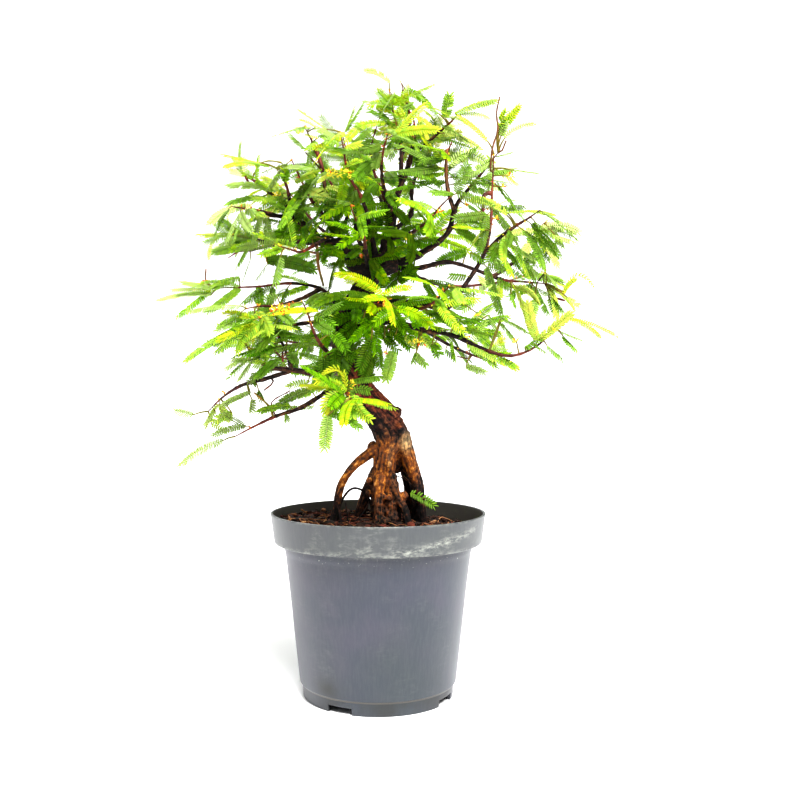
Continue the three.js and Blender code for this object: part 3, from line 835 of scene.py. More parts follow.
@dataclass
class Soil:
    """The potting mix: a bed that fills the pot, with loose chips and rootlets on its top."""

    height: float = 156.5
    slope: float = -0.045
    bump: float = 1.3
    mound: float = 2.0
    mound_spread: float = 2400.0
    gap: float = 0.8
    rows: int = 90
    sides: int = 260
    crumb: float = 2.2
    crumb_size: float = 5.0
    clump: float = 2.0
    clump_size: float = 11.0
    chips: int = 900
    chip_sides: int = 7
    fibres: int = 130
    pot: Pot = field(default_factory=Pot)

    def __post_init__(self) -> None:
        """Start the mesh and the random draws."""
        self.draft, self.rng = Draft(), np.random.default_rng(SEED)

    def top(self, x: Array, y: Array) -> Array:
        """Work out the height of the soil's top, as in the part's source.

        Args:
            x: Places to the right of the middle.
            y: Places behind it.

        Returns:
            The height at each.
        """
        clods = np.sin(0.21 * x + 1.3) * np.cos(0.17 * y + 0.4) + 0.6 * np.sin(0.43 * x - 0.37 * y)
        mound = self.mound * np.exp(-(x * x + y * y) / self.mound_spread)
        return self.height + self.slope * (x + 0.4 * y) + self.bump * clods + mound

    def wall_radius(self) -> float:
        """Work out the bed's radius at its top.

        Returns:
            The radius of the pot's inside there, less the gap.
        """
        share = (self.height - POT_HEIGHT + self.pot.collar_height) / self.pot.collar_height
        foot = self.pot.collar_foot_radius
        return foot + (RIM_RADIUS - foot) * share - self.pot.wall - self.gap

    def bed(self) -> None:
        """Add the bed, with a crumbled top."""
        radii = self.wall_radius() * np.linspace(1, 1 / self.rows, self.rows) ** 0.8
        across, up = np.cos(circle(self.sides)), np.sin(circle(self.sides))
        x, y = np.outer(radii, across).ravel(), np.outer(radii, up).ravel()
        flat = np.stack([x, y, np.zeros_like(x)], axis=1)
        crumb = layered_noise(flat / self.crumb_size, 4, 7) * self.crumb
        crumb = crumb + np.maximum(lattice_noise(flat / self.clump_size, 9), 0) * self.clump
        pot, levels = self.pot, []
        for radius, height in ((pot.body_foot_radius, pot.floor_underside + 3),
                               (pot.shoulder_radius, pot.base), (pot.collar_foot_radius - 0.5, pot.base + 3)):
            inner = radius - pot.wall - self.gap
            levels.append(np.stack([inner * across, inner * up, np.full(self.sides, height)], 1))
        points = np.vstack([*levels, np.stack([x, y, self.top(x, y) + crumb], axis=1)])
        self.draft.add(points, skin(len(points) // self.sides, self.sides), tone=0.12, grain=0.0 * points)

    def chip(self) -> None:
        """Add one chip of bark, lying where it fell."""
        rng = self.rng
        turn, radius = rng.uniform(0, math.tau), (self.wall_radius() - 5) * math.sqrt(rng.uniform(0.02, 1))
        length = rng.gamma(3.0, 1.7) + 2.0
        width, thickness = length * rng.uniform(0.25, 0.75), rng.uniform(0.5, 1.8)
        angles, sides = circle(self.chip_sides), self.chip_sides
        reach = rng.uniform(0.7, 1.15, sides)
        rim = np.stack([np.cos(angles) * reach * length / 2, np.sin(angles) * reach * width / 2,
                        rng.uniform(-0.2, 0.2, sides) * thickness], axis=1)
        body = np.vstack([rim - [0, 0, thickness / 2], rim * [0.92, 0.92, 1] + [0, 0, thickness / 2]])
        yaw, pitch, roll = rng.uniform(0, math.tau), rng.normal(0, 0.28), rng.normal(0, 0.3)
        body = body @ self._rotation(yaw, pitch, roll).T
        x, y = radius * math.cos(turn), radius * math.sin(turn)
        lift = float(self.top(np.array(x), np.array(y))) + rng.uniform(0.3, 2.6)
        tone = np.clip(rng.beta(1.6, 2.4) * 1.1, 0, 1)
        self.draft.add(body + [x, y, lift], skin(2, sides), tone=tone, grain=0.0 * body)

    @staticmethod
    def _rotation(yaw: float, pitch: float, roll: float) -> Array:
        """Work out a rotation.

        Args:
            yaw: The angle about the upright axis.
            pitch: The angle about the second axis.
            roll: The angle about the first axis.

        Returns:
            The matrix, which rolls first and yaws last.
        """
        cy, sy, cp, sp, cr, sr = (f(a) for a in (yaw, pitch, roll) for f in (math.cos, math.sin))
        about_z = np.array([[cy, -sy, 0], [sy, cy, 0], [0, 0, 1]])
        about_y = np.array([[cp, 0, sp], [0, 1, 0], [-sp, 0, cp]])
        about_x = np.array([[1, 0, 0], [0, cr, -sr], [0, sr, cr]])
        return about_z @ about_y @ about_x

    def fibre(self) -> None:
        """Add one rootlet that wanders over the chips."""
        rng = self.rng
        turn, radius = rng.uniform(0, math.tau), (self.wall_radius() - 14) * math.sqrt(rng.uniform(0, 1))
        heading = rng.uniform(0, math.tau)
        point = np.array([radius * math.cos(turn), radius * math.sin(turn)])
        track = []
        for _ in range(6):
            if np.linalg.norm(point) < self.wall_radius() - 4:
                lift = float(self.top(point[0], point[1])) + rng.uniform(1.0, 4.2)
                track.append((point[0], point[1], lift))
            heading += rng.normal(0, 0.5)
            point = point + rng.uniform(4, 9) * np.array([math.cos(heading), math.sin(heading)])
        if len(track) > 2:
            radii = np.linspace(rng.uniform(0.35, 0.8), 0.2, 14)
            tube(self.draft, Route(track), radii, 5, tone=rng.uniform(0.35, 0.95))

    def build(self) -> Object:
        """Fill the pot.

        Returns:
            The finished object.
        """
        self.bed()
        for _ in range(self.chips):
            self.chip()
        for _ in range(self.fibres):
            self.fibre()
        soil = self.draft.build("potting_mix", [PottingMix().material()])
        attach(soil, "root")
        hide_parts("soil")
        return soil


@dataclass(frozen=True)
class Branch:
    """One branch with its leafy shoot, as in the part's source, and what the photograph shows on it.

    The hang of its leaves is a turn round the twig in radians, a lift of their heading and a share of their
    size. The rows after it stand on the upright plane through the trunk that Seen describes: the fields of a
    Seen, then for a side twig its radius, how green it is and its points, and for a flush of opening buds its
    middle, how wide and high it is and how orange.
    """

    name: str
    start_radius: float
    shoot_radius: float
    shoot_points: int
    leaves: int
    youth: float
    points: Sequence[Point]
    hang: Point = (0, 0, 1)
    tip_seen: bool = False
    sparse: bool = False
    seen: Sequence[tuple[float, ...]] = ()
    twigs: Sequence[tuple] = ()
    flushes: Sequence[tuple[float, ...]] = ()

    def route(self) -> Route:
        """The branch's whole middle line."""
        return Route(self.points)

    def shoot_knot(self) -> int:
        """The number of the point where its leafy shoot begins."""
        return len(self.points) - self.shoot_points - 1


@dataclass(frozen=True)
class Patch:
    """A soft-edged patch on the wood where a mark is stronger."""

    middle: Point
    reach: Point
    strength: float = 1.0

    def share(self, points: Array) -> Array:
        """How strongly the patch covers each point."""
        away = (points - self.middle) / self.reach
        return self.strength * np.exp(-np.sum(away * away, axis=1))


# Middle lines and radii of the trunk and of the strands that give it its flutes and its hollow.
TRUNK_STRANDS = [
    [(8, 1, 252, 15.5), (-6, 0, 269, 13.2), (-21, -2, 289, 11.5), (-31, -2, 312, 10.5), (-32, 0, 336, 10),
     (-23, 3, 359, 9.5), (-12, 5, 381, 10), (-4, 6, 401, 10.5)],
    [(4, 0, 256, 12), (11, 1, 236, 14), (7, 1, 222, 10.5), (5, 1, 208, 9.6), (4.5, 1, 196, 9.6),
     (4, 2, 184, 11), (5, 3, 170, 12), (5, 4, 148, 13)],
    [(-4, -3, 276, 5), (5, -3, 268, 4.5), (14, -3, 259, 4.5), (19.5, -3, 250, 4.6), (24, -2, 240, 5.5),
     (25, 0, 228, 7)],
    [(14, 6, 228, 8), (18, 12, 214, 6), (17, 16, 205, 4)],
    [(-24, 1, 396, 7), (-6, 4, 398, 12.5), (18, 5, 402, 7)],
]

# Middle lines and radii of the roots that stand clear of the soil before they enter it.
ROOTS = [
    [(2, 0, 229, 5), (-8, 0, 223, 4.4), (-24, -3, 210, 3.7), (-34, -5, 195, 3.5), (-38, -6, 178, 3.3),
     (-42, -6, 146, 4)],
    [(-39, -6, 176, 2.6), (-43, -9, 162, 2.1), (-49, -12, 148, 2)],
    [(-38, -7, 178, 2.2), (-35, -10, 163, 1.8), (-33, -13, 148, 1.8)],
    [(21, 3, 240, 9), (28, 5, 222, 7), (31.5, 7, 210, 6.6), (35, 8, 199, 6.2), (37.5, 9, 187, 5.8),
     (39, 10, 171, 6.4), (41, 12, 146, 8)],
    [(20, 12, 224, 8), (27, 18, 210, 6.5), (30.5, 24, 195, 6), (32, 30, 175, 6.5), (33, 34, 146, 8)],
    [(2, -5, 202, 6.5), (0.8, -9, 189, 4.4), (0.4, -12, 172, 4), (-1, -14, 146, 5)],
    [(12, -5, 198, 5.5), (18, -8, 184, 3.8), (23.5, -10, 175, 3.6), (27, -11, 164, 3.8), (29, -13, 146, 4.6)],
    [(11, -1, 196, 8), (12, -2, 178, 8), (13, -5, 146, 9)],
    [(9, 8, 214, 8), (6, 18, 183, 7.5), (2, 28, 143, 8)],
    [(0, 7, 207, 6), (-13, 17, 179, 5), (-21, 24, 143, 5)],
]

# Thin roots: middle lines with a radius each, left out of the fused skin.
FINE_ROOTS = [
    (1.25, [(-39, 8, 150), (-35, 11, 176), (-24, 13, 189), (-13, 12, 186), (-8, 9, 178), (-6, 7, 170)]),
    (0.6, [(-30, -8, 178), (-28, -11, 163), (-27, -14, 150)]),
    (0.5, [(-8, 2, 178), (-14, -6, 168), (-22, -12, 160)]),
    (0.25, [(-19, 0, 205.5), (-12, -2, 204), (-4, -3, 204)]),
    (0.45, [(16, -2, 203), (24, -6, 200), (31, -8, 195)]),
    (0.35, [(14, -6, 206), (22, -9, 204), (29, -8, 198)]),
]

# Knobs on the trunk and the root crown: a middle and a radius each.
KNOBS = [
    (-5, 0, 229, 5), (-8, -1, 197, 3.4), (3, -9, 196, 4.6), (4, -11, 184, 4.2), (10, -11, 182, 3.4),
    (24, -7, 184, 4.4), (6, -15, 161, 4.8), (14, -6, 202, 4), (-9, -1, 186, 3), (17, -6, 262, 5),
    (-2, -9, 250, 5), (20, -8, 246, 5), (-13, -8, 262, 5), (-30, -8, 300, 5), (10, -12, 214, 3),
]

# The branches, in the part source's own order. A row of seen has the fields of a Seen.
BRANCHES = [
    Branch("left_upright", 4.7, 1.6, 2, 3, 0.5, ((-8, 6, 397), (-24, 0, 397), (-32, -8, 421), (-47, -18, 439),
        (-59, -26, 453), (-68, -34, 469), (-77, -40, 488)), hang=(1, -0.5, 1),
        seen=[(-78, 477, 21, 9, 8.5, 72, 10, 10), (-65, 470, 15, -7, 11.3, 82, 50),
        (-56, 454, 16, -4, 7.5, 50, 10)]),
    Branch("left_upright_stub", 2.7, 1.5, 2, 2, 0.8, ((-47, -18, 439), (-48, -24, 465), (-53, -28, 491),
        (-60, -32, 508), (-66, -36, 519)), hang=(-1, -0.5, 1), seen=[(-58, 528, -15, 7, 4, 97, 0, 5),
        (-56, 518, -12, 3, 3.6, 95), (-62, 528, -17, 1, 3, 70, 30), (-38, 518, -18, 10, 8, 40, 50, 5),
        (-57, 515, -9, -8, 8, 60, 20), (-68, 508, -14, 14, 5.6, 55), (-49, 473, -8, -12, 11.3, 82, 50),
        (-49, 472, 19, -7, 5.6, 85, 60, 10), (-43, 456, 16, -9, 7.5, 60, 0, 10)],
        twigs=[(1.9, 0, (-58, 507), (-51, 488)), (0.9, 0.3, (-52, 487), (-68, 505))]),
    Branch("left", 3.9, 1.6, 2, 3, 0.7, ((-31, -9, 421), (-52, -4, 420), (-73, 2, 422), (-102, 8, 421),
        (-123, 12, 427), (-135, 14, 429), (-147, 16, 429)), hang=(-0.5, 0.25, 0.8),
        seen=[(-48, 419, 44, -4, 4.7, 38, 0, 8), (-50, 418, 18, -11, 8.5, 60, 0, 5),
        (-142, 427, -24, -1, 4.2, 80, 0, 6), (-150, 426, -8, -21, 4.2, 82, 0, 14),
        (-119, 423, -14, -26, 4.2, 30, 10, 3)]),
    Branch("left_fork", 2.3, 1.4, 2, 2, 0.4, ((-88, 5, 422), (-111, 22, 419), (-124, 34, 418),
        (-137, 44, 418), (-149, 54, 413)), hang=(-0.5, 0.5, 1), tip_seen=True,
        seen=[(-104, 404, 44, -9, 13.2, 18, 0, 5), (-119, 406, -7, -20, 2.3, 25, 20, 3),
        (-103, 401, -11, -15, 4.2, 30, 30, 5)]),
    Branch("left_high", 3.9, 1.8, 2, 3, 0.6, ((-52, -4, 420), (-66, -12, 434), (-79, -22, 441),
        (-80, -28, 455), (-83, -34, 468), (-91, -40, 481)), seen=[(-111, 495, -33, 8, 4.2, 72, 0, 4),
        (-89, 491, 25, -2, 6.6, 55, 70, 5), (-86, 477, -2, 12, 8.5, 65), (-82, 435, -29, 6, 7, 12, 0, 12),
        (-57, 433, -41, -8, 11.3, 22, 0, 12), (-65, 440, -1, -7, 9.4, 75),
        (-74, 431, -25, -8, 9.4, 40, 0, 10)], twigs=[(0.9, 0.6, (-88, 494), (-102, 497), (-110, 495)),
        (0.9, 0.7, (-85, 470), (-88, 490))]),
    Branch("left_high_outer", 2.7, 1.5, 2, 2, 0.5, ((-79, -22, 440), (-94, -34, 440), (-107, -46, 442),
        (-118, -56, 442), (-127, -66, 442)), hang=(-3, -0.5, 0.75),
        seen=[(-124, 457, -20, -11, 5.6, 45, 0, 10), (-118, 454, -39, -16, 9.4, 60, 80, 15),
        (-114, 443, -15, -2, 5.6, 30)], flushes=[(-118, 450, 4, 3, 0.6)]),
    Branch("left_high_back", 2, 1.3, 2, 2, 0.8, ((-80, -27, 448), (-97, -18, 462), (-111, -8, 474),
        (-124, 0, 483), (-134, 8, 492)), hang=(1, 0.25, 0.65), tip_seen=True,
        seen=[(-111, 493, -33, -2, 5.2, 85, 0, 8), (-97, 469, -26, 15, 5.2, 65, 0, 10),
        (-96, 469, -44, 4, 8.5, 60, 80, 8), (-106, 463, -34, -7, 7.5, 30, 0, 15),
        (-87, 457, -20, 2, 9.4, 50, 0, 10)], twigs=[(1.4, 0, (-124, 482), (-120, 475))],
        flushes=[(-95, 465, 8, 3, 0.2)]),
    Branch("inner_back", 2.3, 1.4, 2, 2, 0.4, ((-36, -10, 426), (-27, 14, 456), (-40, 34, 475),
        (-51, 46, 493), (-60, 56, 509)), hang=(-0.5, -0.5, 1)),
    Branch("upright_back", 3.1, 1.8, 3, 2, 0.6, ((-6, 8, 403), (-19, 24, 428), (-23, 42, 464), (-28, 58, 499),
        (-32, 66, 523), (-36, 72, 541)), seen=[(-31, 524, 8, 22, 4.2, 62, 10),
        (-31, 524, 18, 29, 3.8, 50, 20), (-28, 507, 20, 6, 7.5, 15, 0, 10),
        (-27, 486, 17, -6, 3.8, 95, 0, 15), (-19, 448, 0, -20, 9.4, 30)], flushes=[(-30, 482, 16, 7, 0.05)]),
    Branch("upright_front", 3.9, 1.8, 3, 3, 0.9, ((-2, 4, 403), (-7, -14, 428), (-14, -34, 454),
        (-27, -50, 475), (-30, -58, 493), (-33, -64, 507)), hang=(-1.5, -0.5, 1),
        seen=[(-48, 526, -26, 18, 4.2, 60, 50), (-36, 511, -14, 5, 9, 50, 30, 5),
        (-31, 509, 14, 4, 7.5, 85, 20), (-33, 502, -26, 7, 8.5, 80, 0, 10), (-33, 491, 24, 9, 7.5, 72, 10, 8),
        (-27, 484, 13, -13, 4.7, 90, 0, 10), (-33, 486, -23, -9, 4.7, 92, 40, 10),
        (-1, 438, -13, -14, 11.3, 8)], flushes=[(-29, 486, 4, 3, 0.5), (-33, 485, 30, 6, 0.05)]),
    Branch("upright_middle", 3.9, 1.9, 3, 3, 0.6, ((2, 8, 403), (9, 10, 432), (7, 6, 460), (-4, 4, 489),
        (-6, 2, 511), (0, 0, 533)), hang=(2.5, 0.5, 1), seen=[(7, 532, -36, -17, 9.4, 75, 0, 18),
        (7, 532, -27, 0, 4.7, 50, 0, 12), (12, 410, 10, -11, 9.4, 30)]),
    Branch("leader", 5.1, 1.8, 2, 3, 0.5, ((2, 6, 405), (13, 0, 437), (17, -4, 461), (28, -8, 490),
        (33, -8, 513), (34, -8, 526), (32, -8, 540)), hang=(2, -0.5, 1), seen=[(37, 519, 2, 14, 9.4, 50, 20),
        (19, 476, -24, 2, 6.6, 12, 0, 8), (13, 454, 14, -15, 9.4, 10, 0, 10), (13, 438, 6, -12, 6.6, 90, 30),
        (10, 413, -22, -7, 8.5, 15, 0, 5)]),
    Branch("leader_left", 2.5, 1.4, 2, 2, 0.9, ((20, -5, 471), (22, 6, 499), (20, 14, 526), (15, 20, 546),
        (11, 24, 569)), seen=[(11, 570, -23, 11, 7, 80, 90, 15), (14, 545, -14, 16, 9.4, 32),
        (10, 549, -23, 4, 4.7, 40, 30, 10), (15, 539, -24, 3, 3.8, 10, 0, 5), (11, 535, -11, 9, 6.6, 15),
        (9, 531, 23, -16, 8, 52, 0, 12), (15, 507, -22, -8, 8.5, 50, 80, 10),
        (19, 483, -13, 4, 4.2, 8, 0, 15)]),
    Branch("leader_right", 1.9, 1.4, 2, 2, 0.5, ((31, -8, 502), (45, -18, 509), (58, -28, 519),
        (65, -36, 523), (71, -44, 528)), tip_seen=True, seen=[(57, 541, -16, 17, 6.6, 45, 0, -5),
        (63, 537, 4, 21, 11.3, 50), (40, 514, 29, 4, 6.1, 55, 10, 6), (63, 528, 20, -13, 7.5, 12, 10, 5),
        (72, 541, 38, 12, 8, 52, 10, 10), (76, 540, 28, -4, 4.7, 80, 95, 10)]),
    Branch("leader_top", 1.9, 1.3, 2, 2, 0.7, ((21, 6, 499), (29, 24, 530), (31, 34, 548), (27, 43, 568),
        (23, 46, 584)), hang=(-1.5, -0.5, 1), seen=[(24, 556, 27, 12, 5.2, 68, 10, 8),
        (24, 557, 21, 4, 3.8, 70, 30), (24, 557, 5, 10, 6.6, 80, 90), (27, 535, -27, 11, 6.6, 85, 0, 10),
        (23, 545, 9, 4, 8.5, 25, 10), (27, 535, -7, 10, 6.6, 80), (24, 510, -32, 7, 6.6, 35, 0, 10),
        (24, 510, -34, -8, 5.6, 25, 0, 22)]),
    Branch("inner_right", 2.8, 1.5, 2, 2, 0.5, ((11, 1, 430), (31, 18, 449), (33, 34, 477), (41, 48, 503),
        (52, 58, 523), (60, 66, 545)), seen=[(29, 478, -1, -10, 7.5, 60, 10), (34, 478, -6, -9, 8.5, 50)]),
    Branch("right_high", 4.3, 1.7, 2, 3, 0.6, ((-2, 7, 402), (23, 4, 403), (43, -8, 411), (64, -18, 427),
        (71, -24, 450), (83, -28, 466), (96, -32, 481), (108, -36, 496)), tip_seen=True,
        seen=[(113, 529, 7, 14, 8, 70), (114, 526, 16, 19, 7, 76, 0, 5), (112, 525, 20, 23, 7.5, 80, 0, -6),
        (118, 518, 29, 13, 5.6, 85, 90, 12), (115, 520, 4, 13, 7.5, 60, 80), (111, 501, 14, 4, 2.8, 30, 40),
        (95, 480, 32, 9, 6.6, 35, 20, 15), (97, 478, 15, -6, 8.5, 50, 75), (74, 432, 24, -16, 9.4, 12, 0, 10),
        (85, 472, 14, -4, 8.5, 55, 50), (56, 424, -15, -4, 7.5, 30)],
        twigs=[(0.9, 0.1, (115, 505), (120, 516))], flushes=[(83, 456, 3, 3, 0.3)]),
    Branch("right_high_upright", 2.3, 1.4, 2, 2, 0.3, ((70, -22, 445), (63, -38, 460), (60, -50, 477),
        (60, -58, 488), (64, -66, 498)), tip_seen=True, seen=[(66, 487, 25, 20, 7, 35, 0, 10),
        (67, 492, 34, 3, 11.3, 50, 70, 25), (61, 499, -7, 8, 6.6, 72), (61, 498, -22, -2, 8.5, 22, 0, 8),
        (62, 490, -24, -2, 6.6, 68, 0, 10), (62, 486, -24, -4, 6.6, 60, 0, 10),
        (63, 476, -25, 0, 7.5, 35, 0, 10)], twigs=[(1.4, 0.1, (65, 509), (64, 488), (65, 472), (69, 463))]),
    Branch("right", 3.4, 1.5, 2, 3, 0.7, ((-4, 6, 399), (36, 14, 398), (67, 22, 405), (95, 28, 398),
        (120, 30, 389), (141, 30, 387), (162, 28, 385)), hang=(1, -0.5, 1), seen=[(19, 383, 15, 15, 12, 15),
        (22, 393, -15, -15, 12, 3), (29, 399, 6, -13, 10.3, 6), (83, 411, -27, -10, 11.3, 30, 0, 5),
        (112, 387, 12, -9, 10.3, 15), (144, 380, -20, -10, 9.4, 40, 0, 5),
        (157, 392, 10, -13, 4.7, 50, 55, 10), (175, 373, 27, 6, 4.7, 92, 10, 55),
        (173, 372, 12, 14, 4.7, 90, 0, 10), (160, 368, 6, -15, 7.5, 12), (165, 367, 8, -11, 5.6, 30),
        (177, 369, 11, -7, 6.6, 80, 60), (148, 367, -6, -20, 10.3, 50, 35), (143, 370, 21, 6, 4.7, 50, 40),
        (124, 372, 3, -11, 5.6, 40)], twigs=[(1.3, 0, (162, 371), (175, 366)),
        (0.9, 0, (148, 382), (156, 392))], flushes=[(156, 392, 3, 2, 0.3), (174, 373, 3, 2, 0.3)]),
    Branch("right_upright", 2.3, 1.4, 2, 2, 0.4, ((110, 29, 391), (130, 22, 405), (144, 14, 423),
        (151, 10, 434), (158, 8, 441)), hang=(-0.5, -0.5, 0.8), seen=[(148, 432, -35, -6, 9.4, 65, 45, 8),
        (153, 425, 6, -21, 8.5, 25, 0, 5), (150, 431, 37, 0, 12.2, 60, 85, 12),
        (158, 429, 25, -8, 6.6, 68, 70, 8), (154, 424, 13, -15, 11.3, 50, 90),
        (169, 425, -7, -18, 3.8, 40, 50), (133, 401, 16, -11, 8.5, 35, 30, 5)],
        flushes=[(123, 394, 3, 2, 0.3)]),
    Branch("right_front", 3.3, 1.5, 2, 3, 0.8, ((-21, 2, 363), (7, -24, 363), (39, -44, 359), (61, -58, 355),
        (75, -66, 373), (92, -66, 401), (98, -62, 427), (100, -58, 458), (102, -54, 490)), hang=(-2, -0.5, 1),
        seen=[(103, 515, -28, 24, 5.2, 85, 10, 5), (126, 488, 22, -3, 2.8, 50, 60, 10),
        (101, 432, -20, 11, 7.5, 25, 0, 5), (100, 432, -26, 2, 5.2, 68, 0, 5), (86, 411, 13, -7, 8.5, 20),
        (83, 389, -15, 1, 8.5, 8), (71, 358, 15, 7, 8.5, 45, 0, 5), (45, 370, 14, -8, 11.3, 15)],
        twigs=[(0.9, 0.1, (106, 486), (107, 508), (112, 526), (111, 542), (114, 557)),
        (1.9, 0, (100, 466), (98, 442))], flushes=[(110, 443, 3, 3, 0.7), (124, 483, 3, 3, 0.2),
        (117, 473, 3, 2, 0.3), (93, 353, 3, 2, 0.3), (59, 357, 12, 2, 0.2), (51, 351, 3, 2, 0.3)]),
    Branch("right_front_side", 2, 1.3, 2, 2, 0.6, ((92, -66, 401), (104, -78, 413), (117, -86, 422),
        (126, -92, 427), (135, -96, 433)), hang=(3, -0.5, 1), seen=[(121, 446, -34, 14, 7.5, 82, 25, 12),
        (121, 448, 41, -2, 4.7, 72, 20, 20), (112, 425, 34, -20, 5.6, 50, 75, 10)]),
    Branch("right_low", 3, 1.8, 3, 2, 0.9, ((-30, 0, 339), (13, -18, 345), (40, -30, 337), (68, -40, 331),
        (96, -46, 318), (118, -50, 313), (139, -54, 321), (159, -58, 341)), hang=(2, 0.5, 1), tip_seen=True,
        seen=[(6, 331, 13, -11, 10, 20, 0, 5), (16, 334, 14, -12, 10, 30, 0, 5), (25, 332, 12, -8, 8, 80, 50),
        (39, 333, 12, -10, 8, 72, 50, 5), (50, 325, 8, -9, 8, 30), (8, 342, 14, -9, 13.2, 5),
        (179, 349, 29, -17, 4.7, 88, 0, 8), (179, 349, 45, -17, 4.2, 85, 0, 6),
        (171, 337, 18, -7, 2.3, 20, 30, 5), (173, 333, 13, -13, 4.7, 35, 10, 3),
        (158, 324, 14, -12, 5.6, 40, 10, 5), (137, 322, 18, 15, 5.6, 35, 0, -10),
        (114, 349, 25, -13, 4.7, 35, 35, 10), (114, 346, 14, -18, 5.2, 35, 30, 5),
        (145, 326, 12, -8, 2.8, 10, 10), (69, 343, 26, 4, 5.6, 40, 0, 15), (69, 340, 37, -8, 6.6, 60, 30, 12),
        (74, 332, 6, 3, 5.6, 12), (83, 325, 27, -14, 6.6, 62, 40, 10), (111, 313, 17, -10, 6.6, 40, 0, 8),
        (49, 343, 11, -3, 5.6, 68, 10), (25, 332, 18, -6, 8.5, 80, 40), (35, 317, 10, -11, 7.5, 15, 30),
        (36, 318, -3, -9, 6.6, 20, 30)], flushes=[(164, 339, 3, 2, 0.3), (129, 328, 3, 2, 0.7),
        (84, 332, 3, 2, 0.3), (37, 328, 12, 5, 0.1)]),
    Branch("right_low_inner", 2, 1.3, 2, 2, 0.4, ((42, -30, 337), (61, -8, 327), (83, 10, 318), (98, 20, 313),
        (110, 30, 309)), hang=(-0.5, 0.5, 1), seen=[(86, 320, 24, -16, 7.5, 45, 0, 10),
        (82, 305, 17, -6, 7.5, 30, 40), (69, 328, 3, -17, 4.7, 45, 0, 5), (52, 325, 3, -11, 6.6, 30),
        (63, 321, 10, -8, 5.6, 42)], twigs=[(0.8, 0, (86, 312), (74, 314))]),
    Branch("right_back", 2.7, 1.8, 3, 2, 0.5, ((21, 9, 398), (46, 60, 392), (76, 92, 389), (111, 110, 393),
        (139, 116, 398), (163, 120, 405)), seen=[(111, 376, -16, 11, 8.5, 60, 50),
        (90, 365, -11, -8, 9.4, 50, 10)]),
    Branch("low_left", 3.9, 1.9, 3, 3, 0.5, ((-31, -2, 306), (-55, -12, 299), (-79, -22, 301),
        (-100, -30, 304), (-113, -34, 315), (-119, -36, 324), (-126, -38, 333)), hang=(0, 0.5, 1),
        tip_seen=True, seen=[(-115, 322, 10, -8, 8.5, 35), (-124, 315, -18, -12, 5.6, 40, 60, 3),
        (-124, 308, -15, -14, 6.1, 35, 10, 5), (-119, 307, -10, -15, 5.6, 50, 70),
        (-65, 289, -19, -4, 7.5, 60, 40, 8)],
        twigs=[(1.4, 0, (-95, 303), (-113, 310), (-120, 322), (-128, 326))]),
    Branch("low_left_hanging", 2.3, 1.7, 2, 2, 0.4, ((-80, -23, 300), (-104, -8, 293), (-130, 4, 286),
        (-148, 12, 275), (-162, 17, 262)), hang=(-2.5, 0, 1), tip_seen=True, sparse=True,
        seen=[(-173, 259, -17, 4, 7.5, 30, 55), (-119, 280, -26, -12, 6.6, 35, 50, 6),
        (-136, 261, -18, -8, 10.3, 68, 25, 5), (-152, 262, -11, -12, 4.7, 50, 70),
        (-156, 250, 14, -7, 5.6, 75, 40, 5), (-118, 274, -1, -12, 7.5, 8, 30), (-112, 282, 4, -8, 5.2, 12),
        (-117, 299, 0, -11, 5.2, 20)], twigs=[(0.9, 0, (-98, 290), (-107, 282))],
        flushes=[(-145, 280, 3, 3, 0.5)]),
    Branch("lowest", 2.7, 1.7, 2, 2, 0.5, ((-29, -2, 292), (-50, -16, 279), (-71, -28, 266), (-92, -34, 259),
        (-113, -38, 249), (-128, -40, 241)), hang=(-0.5, 0.5, 1), tip_seen=True, sparse=True,
        seen=[(-145, 235, -40, -23, 8, 42, 50, 8), (-82, 268, -29, -6, 6.6, 55, 0, 8),
        (-86, 260, 0, -7, 6.6, 30, 10), (-63, 282, -28, -12, 9.4, 10, 5, 5),
        (-60, 267, -32, 0, 4.2, 62, 0, 4)], twigs=[(1.2, 0.4, (-102, 267), (-116, 280)),
        (0.7, 0, (-100, 270), (-82, 282))]),
    Branch("low_left_front", 2, 1.3, 2, 2, 0.7, ((-79, -22, 301), (-81, -50, 316), (-86, -70, 329),
        (-92, -82, 337), (-99, -92, 343)), seen=[(-110, 346, -17, -15, 12.2, 62, 10),
        (-106, 347, 4, -20, 12.2, 58, 10)], twigs=[(1.2, 0, (-89, 321), (-89, 309)),
        (0.9, 0.2, (-87, 313), (-84, 334)), (0.9, 0, (-89, 312), (-100, 323))]),
    Branch("middle_left", 2.3, 1.7, 3, 2, 0.6, ((-32, 0, 337), (-52, -10, 345), (-75, -16, 343),
        (-101, -16, 340), (-120, -14, 338), (-137, -10, 332)), hang=(-2, -0.25, 1), tip_seen=True,
        seen=[(-112, 344, -67, -34, 7.5, 50, 15, 10), (-91, 346, 3, -17, 8.5, 12),
        (-85, 346, 12, -9, 6.6, 10)]),
    Branch("middle_left_high", 2, 1.5, 3, 3, 0.7, ((-31, 2, 350), (-51, 4, 376), (-81, 6, 383),
        (-111, 6, 380), (-130, 4, 379), (-151, 2, 378)), hang=(1.5, 0, 1),
        seen=[(-45, 374, -20, -10, 8.5, 60, 50, 15), (-129, 387, -26, -10, 8.5, 42, 25, 10),
        (-154, 375, -40, 1, 4.7, 78, 0, 3), (-155, 377, -29, 6, 5.6, 50, 50, 5),
        (-156, 371, -48, -5, 6.1, 60, 80, 12), (-112, 378, -15, -14, 6.1, 40, 10, 5),
        (-111, 379, 0, -16, 8.5, 35)], twigs=[(0.9, 0.1, (-161, 384), (-161, 396))],
        flushes=[(-163, 383, 4, 5, 0.5)]),
    Branch("middle_left_front", 2.2, 1.3, 2, 2, 0.9, ((-55, 4, 377), (-72, -40, 363), (-89, -62, 356),
        (-100, -74, 355), (-112, -84, 352)), hang=(-2.5, -0.5, 1), seen=[(-82, 356, 25, 0, 4.7, 100, 0, 5),
